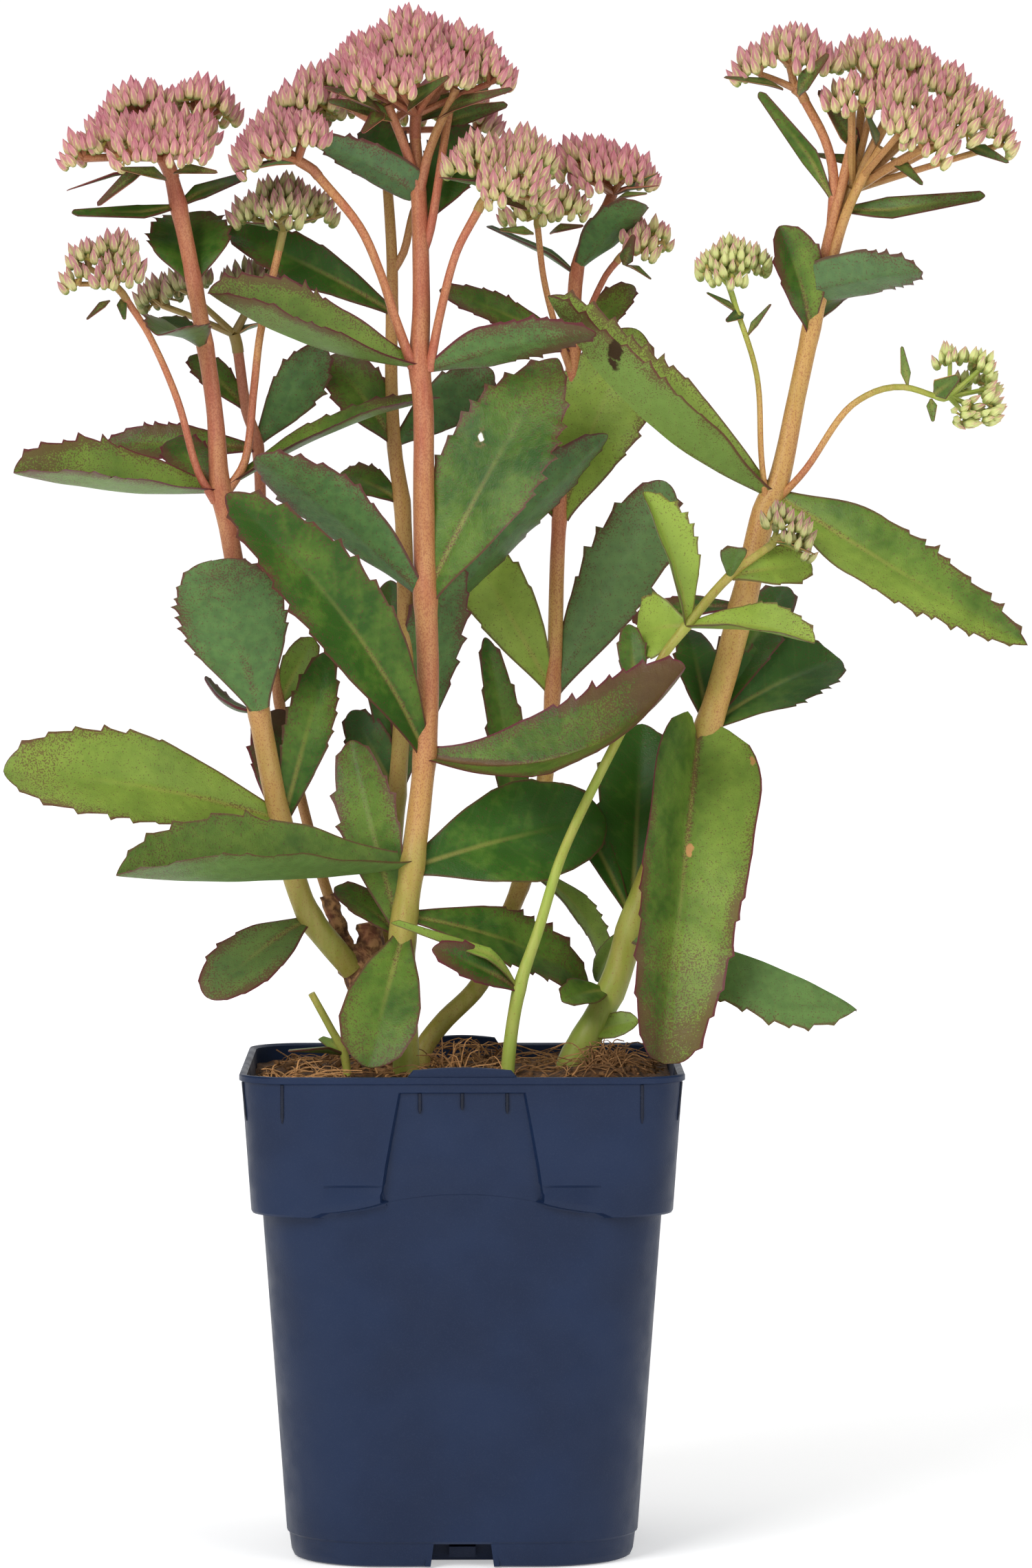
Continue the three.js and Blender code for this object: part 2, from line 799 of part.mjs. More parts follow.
        blunt: 0.35,
      },
      { from: [34.8, 386, 24], to: [7.5, 400, 30], width: 9, face: [0, -0.2, 1], teeth: 0 },
      { from: [34.2, 362, 26], to: [52.5, 382, 32], width: 12, face: [-0.3, -1, 0.4], teeth: 3 },
      { from: [34.2, 362, 26], to: [-7, 380.5, 18], width: 12, face: [0, -0.8, 0.6], teeth: 5 },
      {
        from: [30, 311, 27],
        to: [53.2, 368.8, 26],
        width: 30,
        face: [-0.2, -1, 0.2],
        teeth: 5,
        fold: 8,
      },
      { from: [29.6, 311, 27], to: [8, 338, 48], width: 20, face: [0.2, -0.8, 0.6], teeth: 5 },
      { from: [27.6, 258, 23], to: [-1, 306.8, 28], width: 21, face: [0.1, -1, 0.1], teeth: 4 },
      {
        from: [27.6, 257.5, 23],
        to: [62.6, 322, 12],
        width: 24,
        face: [0.2, 1, 0.2],
        fold: 12,
        teeth: 4,
        blunt: 0.5,
      },
      { from: [17.9, 198.7, 14], to: [7, 274.5, 14], width: 13, face: [0.5, -1, 0], teeth: 4 },
      { from: [19.6, 203.5, 15], to: [44, 173, 18], width: 14, face: [0.4, -0.5, 0.7], arch: 0.14 },
    ],
  },
  stem_right: {
    sides: 6,
    finish: "greenery",
    shoots: {
      main: [
        [29, 120, -8, 4.6],
        [33.4, 144, -8, 4.7],
        [39.1, 153.5, -8, 4.7],
        [46.6, 168.4, -7, 4.7],
        [52.5, 187.3, -6, 4.6],
        [75, 246, -4, 4.5],
        [86.4, 286.5, -3, 4.3],
        [92.5, 313, -2, 4.2],
        [96.8, 322, -2, 3.6],
        [102.3, 348, 0, 3],
        [108.2, 375.5, 0, 3],
        [112.2, 392, 0, 3.1],
        [116, 407, 0, 3],
      ],
      high: [
        [112.6, 396, -1, 1.8],
        [113.4, 415.6, -4, 1.7],
        [110.7, 426.7, -7, 1.6],
        [104.5, 438.5, -9, 1.6],
      ],
      young: [
        [93, 316, -4, 1.1],
        [91.5, 330, -7, 1],
        [90.1, 354.5, -9, 0.95],
        [83, 377.5, -10, 0.95],
      ],
      side: [
        [97, 317, -3, 1.3],
        [105.2, 326, -6, 1.2],
        [117.2, 343.6, -8, 1.15],
        [126.2, 349.6, -9, 1.1],
        [135, 351, -9, 1.1],
        [145.3, 348, -9, 1],
      ],
    },
    leaves: [
      {
        from: [112.6, 409, -4],
        to: [90.7, 441, -16],
        width: 9,
        arch: -0.1,
        teeth: 0,
        face: [-0.6, -0.7, 0.3],
      },
      {
        from: [115.4, 405.2, -2],
        to: [159.8, 409.4, -14],
        width: 13,
        teeth: 0,
        face: [0, -0.8, 0.6],
        fold: 24,
        arch: -0.07,
      },
      {
        from: [108.4, 378, -5],
        to: [140.5, 385, -22],
        width: 19,
        face: [-0.1, 0.9, 0.6],
        widest: 0.3,
        blunt: 0.6,
        base: 0.7,
      },
      {
        from: [106.5, 368, -1],
        to: [96.8, 400, -12],
        width: 19,
        face: [0.5, -1, 0.2],
        fold: 24,
        blunt: 0.5,
      },
      { from: [106.8, 370, 0], to: [116, 379, 16], width: 10, face: [-0.2, -0.6, 0.8], teeth: 3 },
      {
        from: [94.8, 318, -3],
        to: [26.3, 378.8, -22],
        width: 35,
        face: [0.68, -0.33, 0.66],
        fold: 66,
        teeth: 6,
        widest: 0.45,
        arch: -0.078,
        bow: -0.029,
      },
      {
        from: [96.5, 318, -3],
        to: [173.2, 272, -18],
        width: 25,
        face: [0.3, -1, 0.4],
        fold: 18,
        teeth: 6,
        bow: 0.04,
        widest: 0.36,
        blunt: 0.75,
      },
      {
        from: [75.2, 247, -3],
        to: [115.5, 268, 16],
        width: 30,
        face: [-0.3, -0.8, 0.5],
        fold: 22,
        teeth: 6,
      },
      { from: [75.2, 247, -3], to: [69, 277, 14], width: 14, face: [0.2, -1, 0.3], teeth: 3 },
      { from: [75.2, 247, -2], to: [99.5, 290, 28], width: 19, face: [-0.2, -0.9, 0.5], teeth: 4 },
      { from: [85.5, 284, -2], to: [52, 279.5, 8], width: 11, face: [0, -0.7, 0.7], teeth: 4 },
      {
        from: [71.9, 243.2, -8.2],
        to: [61.6, 143.6, -46],
        width: 41.5,
        face: [0.5, -1, 0.25],
        fold: 24,
        teeth: 5,
        blunt: 0.26,
        widest: 0.16,
        bow: -0.02,
        base: 0.72,
      },
      {
        from: [51, 184, -7],
        to: [121, 160, -30],
        width: 37,
        face: [0, 0.3, -1],
        fold: 34,
        arch: -0.06,
      },
      { from: [52, 189, -5], to: [55, 248, 10], width: 26, face: [0, -1, 0.2], teeth: 3 },
      { from: [51.5, 189, -6], to: [30, 230, 2], width: 10, face: [0.2, -1, 0.3], teeth: 2 },
      { from: [44.5, 166, -8], to: [30.5, 163, -24], width: 12, face: [0, -0.8, 0.6], teeth: 1 },
      { from: [51, 186, -5], to: [41, 169, 8], width: 8, face: [-0.3, -0.8, 0.3], teeth: 1 },
      { from: [38.5, 152, -8], to: [54, 157, -14], width: 9, teeth: 1, face: [0, -0.9, 0.5] },
    ],
  },
  shoot_pale: {
    sides: 6,
    finish: "pale",
    shoots: {
      main: [
        [13.6, 122, -30, 2.3],
        [14.1, 144, -30, 2.3],
        [17.5, 166.7, -29, 2.2],
        [23.4, 184.8, -28, 1.8],
        [31.1, 209, -27, 1.7],
        [46.6, 241.3, -27, 1.6],
        [60.9, 267.7, -28, 1.5],
        [68.9, 278.2, -28, 1.7],
        [81.5, 292.9, -25, 1.5],
        [93.3, 301.8, -22, 1.3],
      ],
    },
    leaves: [
      {
        from: [17.2, 167, -29],
        to: [-21.8, 187, -38],
        width: 6.5,
        arch: 0.2,
        teeth: 0,
        face: [0, -0.8, 0.7],
      },
      { from: [17.4, 166.5, -29], to: [-9.2, 179, -44], width: 12, face: [0, -0.9, 0.5], teeth: 2 },
      {
        from: [68.9, 278.2, -28],
        to: [55.5, 319, -34],
        width: 20,
        face: [0.9, -0.8, 0.3],
        fold: 36,
      },
      { from: [68.9, 278.2, -28], to: [108, 273, -42], width: 20, face: [0, -0.5, 1], fold: 30 },
      { from: [68.9, 278.2, -27], to: [53.5, 276, -16], width: 22, face: [0, -1, 0.3], teeth: 3 },
      { from: [53.5, 255, -27], to: [51, 278.5, -22], width: 9, face: [0, -1, 0.2], teeth: 2 },
      {
        from: [81.8, 293, -25],
        to: [84, 302, -38],
        width: 9,
        face: [0, 0.5, 1],
        fold: 28,
        teeth: 2,
      },
      { from: [82.6, 293, -25], to: [107, 296.5, -15], width: 15, face: [0, -0.9, 0.5], teeth: 3 },
    ],
  },
  stem_far_left: {
    sides: 6,
    finish: "shade",
    shoots: {
      main: [
        [-31, 171, 4, 1.9],
        [-36.5, 184, 9, 1.9],
        [-42.2, 199, 11, 1.9],
        [-49.5, 226, 12, 1.8],
        [-56.5, 258, 11, 1.8],
        [-61, 300, 8, 1.8],
        [-62.4, 333, 6, 2],
        [-65.8, 344, 5, 1.8],
        [-68.4, 362, 3, 1.8],
      ],
    },
    leaves: [
      { from: [-62.6, 334, 6], to: [-42, 363.5, -3], width: 16, face: [0.2, 1, 0.2], teeth: 3 },
      { from: [-65.8, 344, 5], to: [-83, 360.5, 14], width: 11, face: [0, -0.8, 0.6], teeth: 3 },
      { from: [-62.3, 332, 6], to: [-109.6, 333, 4], width: 13, face: [0, -0.9, 0.5], teeth: 5 },
      { from: [-56, 254, 11], to: [-45.6, 274.5, 14], width: 11, face: [0, -1, 0.2], teeth: 2 },
    ],
  },
  shoot_low: {
    sides: 6,
    finish: "pale",
    shoots: {
      main: [
        [-34, 124, -30, 1.4],
        [-36, 146, -30, 1.4],
        [-40, 154, -31, 1.3],
        [-46.2, 165.3, -33, 1.2],
      ],
    },
    leaves: [
      { from: [-36.2, 147, -30], to: [-53.3, 147.6, -38], width: 7, face: UP, teeth: 0 },
      {
        from: [-36.2, 147, -30],
        to: [-43.5, 151.5, -20],
        width: 6,
        face: [0, -0.8, 0.6],
        teeth: 0,
      },
    ],
  },
};

// Crown: old rootstock with a dried stub and a cut stub
const CROWN = {
  stock: [
    [-23, 122, -6, 4.8],
    [-24, 148, -6, 5],
    [-27, 164, -4, 6.2],
    [-31.5, 174, -2, 6.8],
    [-33, 180, -1, 4.5],
  ],
  dried: [
    [-29, 170, 0, 4.6],
    [-28, 182, 0, 4],
    [-28.6, 187, 0, 3.6],
  ],
  sawn: [
    [-34, 175, 0, 2.8],
    [-38, 186, 0.5, 2.6],
    [-41.2, 195.5, 1, 2.7],
  ],
};

// Heads: the shoot that carries each, the hub that its stalks spread from, and its clusters of buds as
// [x, z, depth, buds along a side]; lean is how much they look up rather than away from the hub
const HEADS = {
  head_front: {
    on: ["stem_front", "main"],
    hub: [-14, 434, -8],
    clusters: [
      [-13, 460, -8, 4],
      [-33, 450, -2, 4],
      [9, 452, -4, 4],
      [-25, 447, -24, 4],
      [1, 447, -26, 4],
      [-21, 452, 16, 4],
      [4, 452, 16, 4],
    ],
    bracts: [
      { from: [-14, 434, -8], to: [-40, 440, -26], width: 8, face: UP },
      { from: [-14, 434, -8], to: [14, 438, -34], width: 8, face: UP },
    ],
  },
  head_front_left: {
    on: ["stem_front", "left"],
    hub: [-50, 420, -27],
    clusters: [
      [-50.5, 437, -22, 4],
      [-61, 429, -34, 4],
      [-55, 430, -44, 3],
    ],
  },
  head_front_right: {
    on: ["stem_front", "right"],
    hub: [9, 411, -20],
    clusters: [
      [4, 423, -28, 4],
      [20, 417, -33, 3],
      [23, 425, -16, 4],
      [12, 415, -45, 3],
    ],
  },
  head_left: {
    on: ["stem_left", "main"],
    hub: [-91, 421, -17],
    clusters: [
      [-101, 438, -10, 4],
      [-78, 439, -8, 4],
      [-92, 431, -28, 4],
      [-113, 425, -20, 4],
      [-77, 428, -13, 3],
      [-92, 434, 10, 4],
    ],
    bracts: [
      { from: [-91, 421, -17], to: [-122, 417, -32], width: 5, face: UP },
      { from: [-91, 421, -17], to: [-71, 417, -38], width: 5, face: UP },
    ],
  },
  head_left_low: {
    on: ["stem_left", "low"],
    hub: [-106, 382, -31],
    clusters: [
      [-105, 391, -31, 4],
      [-117, 386, -38, 3],
    ],
  },
  head_left_middle: {
    on: ["stem_left", "middle"],
    hub: [-54.5, 399, -12],
    clusters: [
      [-55, 411, -12, 4],
      [-40, 403, -10, 3],
      [-65.4, 404, -14, 3],
    ],
  },
  head_back: {
    on: ["stem_back", "main"],
    hub: [46, 410, 21],
    clusters: [
      [34, 423, 18, 4],
      [53, 418, 16, 3],
      [47, 422, 30, 4],
    ],
  },
  head_back_small: {
    on: ["stem_back", "left"],
    hub: [24, 403, 15],
    clusters: [
      [17.5, 409, 11, 3],
      [34, 408, 6, 3],
    ],
  },
  head_back_side: {
    on: ["stem_back", "right"],
    hub: [50.5, 392, 19],
    clusters: [
      [57, 396, 14, 3],
      [58, 399, 26, 3],
    ],
  },
  head_right: {
    on: ["stem_right", "main"],
    hub: [119.5, 413, 0],
    lean: 0.5,
    clusters: [
      [124, 455, 2, 4],
      [119, 441.5, -18, 3],
      [138, 453, 6, 4],
      [134, 443.5, -18, 4],
      [151, 445, 0, 4],
      [162, 436, -4, 3],
      [145, 430.5, -28, 4],
      [153, 434.5, -18, 3],
    ],
    bracts: [
      { from: [119.5, 413, 0], to: [108.8, 440, 0], width: 8, face: [0, -1, 0.5] },
    ],
  },
  head_right_upper: {
    on: ["stem_right", "high"],
    hub: [101.5, 442, -10],
    clusters: [
      [98, 455.5, -10, 4],
      [111, 452.5, -18, 2],
      [86, 450.5, -14, 3],
    ],
    bracts: [
      { from: [101.5, 442, -10], to: [79, 447, -22], width: 5, face: UP },
    ],
  },
  head_right_young: {
    on: ["stem_right", "young"],
    hub: [81.5, 382, -11],
    clusters: [
      [82.3, 391, -11, 4],
    ],
  },
  spray_right: {
    on: ["stem_right", "side"],
    hub: [149, 348, -9],
    lean: 0.2,
    clusters: [
      [149.5, 360, -9, 2],
      [161, 357.5, -10, 3],
      [162.5, 343, -12, 2],
    ],
    bracts: [{ from: [149, 348, -9], to: [151.5, 352.5, -20], width: 7, face: [0, 1, 0.4] }],
  },
  head_pale: {
    on: ["shoot_pale", "main"],
    hub: [95.5, 304.5, -23],
    clusters: [
      [99, 314, -24, 3],
      [105, 305, -28, 3],
    ],
  },
  head_far_left: {
    on: ["stem_far_left", "main"],
    hub: [-69.5, 367, 2.5],
    clusters: [
      [-88, 386, 14, 3],
      [-61, 386, 18, 4],
      [-96, 381, 20, 3],
    ],
  },
  head_middle: {
    on: ["stem_middle", "main"],
    hub: [-24, 429, 24],
    clusters: [
      [-36, 440, 34, 3],
      [-16, 442, 40, 4],
    ],
  },
};

// Heads whose buds are still green
const YOUNG_HEADS = new Set(["head_right_young", "spray_right", "head_pale"]);

function stemSolid({ shoots, leaves, sides }) {
  const tubes = Object.entries(shoots).map(([part, points]) =>
    tube(stations(points), part === "main" ? sides : 4),
  );
  return join([...tubes, ...leaves.map(leaf)]);
}

function endOf(points) {
  const curve = new THREE.CatmullRomCurve3(points.map(place));
  return { at: curve.getPoint(1), along: curve.getTangent(1), radius: points.at(-1)[3] };
}

// A head starts a clearance above the end of its shoot and spreads from its hub to its clusters
function headSolid({ on: [stem, shoot], hub, clusters, bracts = [], lean = 1 }, random) {
  const end = endOf(STEMS[stem].shoots[shoot]);
  const centre = place(hub);
  const neck = [1.5 * CLEARANCE, 2].map((step) => ({
    at: end.at.clone().addScaledVector(end.along, step),
    radius: end.radius * 0.9,
  }));
  const pieces = [tube([...neck, { at: centre, radius: end.radius * 1.1 }], 5)];
  for (const [x, z, depth, side] of clusters) {
    const top = place([x, z, depth]);
    const away = top.clone().sub(centre);
    const axis = away.clone().normalize().add(new THREE.Vector3(0, 0, lean)).normalize();
    const { solid, stalk } = budCluster(top, axis, side, random);
    const ray = 0.3 + 0.2 * side;
    const sunk = stalk.addScaledVector(axis, 3);
    pieces.push(
      tube(
        [
          { at: centre, radius: ray * 1.15 },
          { at: sunk, radius: ray },
        ],
        4,
      ),
      solid,
    );
  }
  const blades = bracts.map((bract) => leaf({ teeth: 0, fold: 22, blunt: 0.8, ...bract }));
  return join([...pieces, ...blades]);
}

// The part of a shoot below and just above the soil, thicker by a clearance and a little longer
function socketFor(stem) {
  const [first, ...rest] = stations(stem.shoots.main.slice(0, 4));
  const deeper = first.at.clone().multiplyScalar(1.5).addScaledVector(rest[0].at, -0.5);
  const start = first.at.clone().lerp(deeper, 0.1);
  return tube([{ at: start, radius: first.radius }, ...rest], stem.sides, 1.5 * CLEARANCE);
}

// Assembly

const plant = new THREE.Group();
plant.name = "potted_stonecrop";
plant.add(mesh("pot", buildPot(), FINISH.pot));

const sockets = [];
const stemSockets = [];
for (const [name, stem] of Object.entries(STEMS)) {
  plant.add(mesh(name, stemSolid(stem), FINISH[stem.finish]));
  const hole = socketFor(stem);
  sockets.push(hole);
  if (name === "stem_left" || name === "stem_far_left") stemSockets.push(hole);
}
const crown = cut(join(Object.values(CROWN).map((points) => tube(stations(points), 6))), stemSockets);
plant.add(mesh("crown", crown, FINISH.wood));
sockets.push(socketFor({ shoots: { main: CROWN.stock }, sides: 6 }));
plant.add(mesh("substrate", buildSubstrate(sockets), FINISH.soil));

const random = seededRandom(2026);
for (const [name, head] of Object.entries(HEADS)) {
  const look = YOUNG_HEADS.has(name) ? FINISH.youngBud : FINISH.bud;
  plant.add(mesh(name, headSolid(head, random), look));
}

export default plant;
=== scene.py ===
"""A potted stonecrop with upright stems and domed heads of closed pink buds.

The plant stands in a dark navy square nursery pot. Lengths are in millimetres until a piece is
finished, when its mesh is scaled to metres.
"""

from __future__ import annotations

import logging
import math
import random
from collections.abc import Callable, Sequence
from dataclasses import dataclass
from enum import Enum

import bmesh
import bpy
from mathutils import Matrix, Vector, noise


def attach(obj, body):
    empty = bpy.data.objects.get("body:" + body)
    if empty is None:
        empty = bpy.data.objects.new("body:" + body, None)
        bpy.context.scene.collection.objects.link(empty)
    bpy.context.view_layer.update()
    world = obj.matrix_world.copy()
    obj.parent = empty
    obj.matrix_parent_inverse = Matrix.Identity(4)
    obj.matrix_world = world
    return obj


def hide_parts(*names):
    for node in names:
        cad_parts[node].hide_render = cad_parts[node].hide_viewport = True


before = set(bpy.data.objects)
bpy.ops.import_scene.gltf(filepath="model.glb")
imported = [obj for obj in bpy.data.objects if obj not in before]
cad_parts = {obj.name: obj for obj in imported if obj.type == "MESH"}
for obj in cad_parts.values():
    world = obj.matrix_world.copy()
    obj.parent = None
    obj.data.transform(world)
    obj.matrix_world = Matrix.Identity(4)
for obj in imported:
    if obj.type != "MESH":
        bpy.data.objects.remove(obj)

LOG = logging.getLogger("stonecrop")

MM = 0.001
BODY = "root"
# The eye, in front of the pot's axis and above the ground
EYE_DISTANCE = 2108.0
EYE_HEIGHT = 318.8
DATUM = 3.8
PLANT_IOR = 1.45
PLASTIC_IOR = 1.49
FIBRE_IOR = 1.4
# A full turn as random draws take it, rounded up
FULL_TURN = 6.3
# The turn from one bud of a dome to the next
GOLDEN_ANGLE = 2.39996
# Stalks that branch off under a cluster, round one more in its middle
FORKS = 5
# How far apart rows of evenly packed buds lie, as a share of the buds' distance
HEXAGON_ROW = 0.866
MAIN_SIDES = 16
FIRST_STEM_SEED = 11
FIRST_HEAD_SEED = 31

Point = tuple[float, float, float]
Station = tuple[float, float, float, float]
Color = tuple[float, float, float, float]
UP: Point = (0.0, 0.0, 1.0)


def place(point: Sequence[float]) -> Vector:
    """Gives the place of a plant point.

    Args:
        point: The x and z where the point lines up on the plane through the pot's axis, seen from
            the eye, and its depth behind that plane. Heights count from DATUM above the ground.

    Returns:
        The point in millimetres.
    """
    x, z, depth = point[:3]
    spread = 1 + depth / EYE_DISTANCE
    return Vector((x * spread, depth, EYE_HEIGHT + (z + DATUM - EYE_HEIGHT) * spread))


def smoothstep(low: float, high: float, value: float) -> float:
    """Eases a value from 0 at low to 1 at high."""
    share = min(max((value - low) / (high - low), 0.0), 1.0)
    return share * share * (3 - 2 * share)


def linear(hex_color: str) -> Color:
    """Turns an sRGB hex colour to linear light.

    Args:
        hex_color: The colour as a text, a # and six digits.

    Returns:
        The linear colour, with its alpha.
    """
    channels = [int(hex_color[k : k + 2], 16) / 255 for k in (1, 3, 5)]
    curve = [c / 12.92 if c <= 0.04045 else ((c + 0.055) / 1.055) ** 2.4 for c in channels]
    return (curve[0], curve[1], curve[2], 1.0)


# Materials


class Sketch:
    """A material under construction: its node tree and the one function that adds to it."""

    def __init__(self, name: str) -> None:
        """Starts a material with a Principled shader.

        Args:
            name: What the finish is.
        """
        self.material = bpy.data.materials.new(name)
        self.material.use_nodes = True
        self.tree = self.material.node_tree
        self.shader = self.tree.nodes["Principled BSDF"]

    def add(self, kind: str, inputs: dict | None = None, **settings: object) -> bpy.types.Node:
        """Adds a node with its settings and links.

        Args:
            kind: The node's type.
            inputs: Values or output sockets for its inputs, by name or number.
            **settings: Properties of the node itself.

        Returns:
            The new node.
        """
        node = self.tree.nodes.new(kind)
        for key, value in settings.items():
            setattr(node, key, value)
        self.feed(node, inputs or {})
        return node

    def feed(self, node: bpy.types.Node, inputs: dict) -> None:
        """Sets or links a node's inputs.

        Args:
            node: The node.
            inputs: Values or output sockets for its inputs, by name or number.
        """
        for key, value in inputs.items():
            if isinstance(value, bpy.types.NodeSocket):
                self.tree.links.new(value, node.inputs[key])
            else:
                node.inputs[key].default_value = value

    def blend(self, share: object, low: object, high: object) -> object:
        """Mixes two colours, each a socket or an sRGB hex text, and gives the result's socket."""
        low, high = (linear(color) if isinstance(color, str) else color for color in (low, high))
        return self.add("ShaderNodeMix", {0: share, 6: low, 7: high}, data_type="RGBA").outputs[2]

    def math(self, operation: str, *values: object) -> object:
        """Works out one sum on its values and gives the result's socket."""
        node = self.add("ShaderNodeMath", dict(enumerate(values)), operation=operation)
        return node.outputs[0]

    def plus(self, first: object, second: object) -> object:
        """Gives the socket of a sum."""
        return self.math("ADD", first, second)

    def minus(self, first: object, second: object) -> object:
        """Gives the socket of a difference."""
        return self.math("SUBTRACT", first, second)

    def times(self, first: object, second: object) -> object:
        """Gives the socket of a product."""
        return self.math("MULTIPLY", first, second)

    def slope(self, value: object, factor: object, start: object) -> object:
        """Gives the socket of a value times a factor, plus a start."""
        return self.math("MULTIPLY_ADD", value, factor, start)

    def fade(self, value: object, low: float, high: float, start: float = 0, end: float = 1) -> object:
        """Eases a value between two limits.

        Args:
            value: The value or its socket.
            low: The limit where it starts.
            high: The limit where it ends.
            start: What it gives at the low limit.
            end: What it gives at the high limit.

        Returns:
            The result's socket.
        """
        inputs = {0: value, 1: low, 2: high, 3: start, 4: end}
        node = self.add("ShaderNodeMapRange", inputs, interpolation_type="SMOOTHSTEP")
        return node.outputs[0]

    def grain(self, size: float, detail: float = 2, stretch: float = 1) -> object:
        """Adds noise with features of one size.

        Args:
            size: The size of its features in millimetres.
            detail: How many finer layers it has.
            stretch: How much longer the features are upwards.

        Returns:
            The noise's socket.
        """
        where = self.add("ShaderNodeTexCoord").outputs["Object"]
        mapping = self.add("ShaderNodeMapping", {0: where, 3: (1, 1, 1 / stretch)})
        inputs = {"Vector": mapping.outputs[0], "Scale": 1 / (size * MM), "Detail": detail}
        return self.add("ShaderNodeTexNoise", inputs).outputs[0]

    def read(self, name: str) -> bpy.types.Node:
        """Adds a reader of one of the mesh's attributes."""
        return self.add("ShaderNodeAttribute", attribute_name=name)

    def tones(self) -> tuple[object, object, object]:
        """Gives the sockets of the three numbers in the mesh's tone."""
        tone = self.add("ShaderNodeSeparateColor", {0: self.read("tone").outputs["Color"]})
        return tone.outputs[0], tone.outputs[1], tone.outputs[2]

    def cover(self, color: object, roughness: object, ior: float, specular: float = 0.5) -> None:
        """Sets the surface's colour, roughness, index of refraction and specular level."""
        values = {"Base Color": color, "Roughness": roughness, "IOR": ior}
        self.feed(self.shader, values | {"Specular IOR Level": specular})

    def flesh(self, weight: float, depth: float, colors: Point) -> None:
        """Lets a share of the light in, to a depth in millimetres that each colour has a share of."""
        values = {"Subsurface Weight": weight, "Subsurface Scale": depth * MM}
        self.feed(self.shader, values | {"Subsurface Radius": colors})

    def relief(self, height: object, strength: float, distance: float) -> None:
        """Gives the surface a bump.

        Args:
            height: The bump's height from 0 to 1.
            strength: Its strength from 0 to 1.
            distance: The height of 1 in millimetres.
        """
        inputs = {"Height": height, "Strength": strength, "Distance": distance * MM}
        bump = self.add("ShaderNodeBump", inputs)
        self.feed(self.shader, {"Normal": bump.outputs[0]})


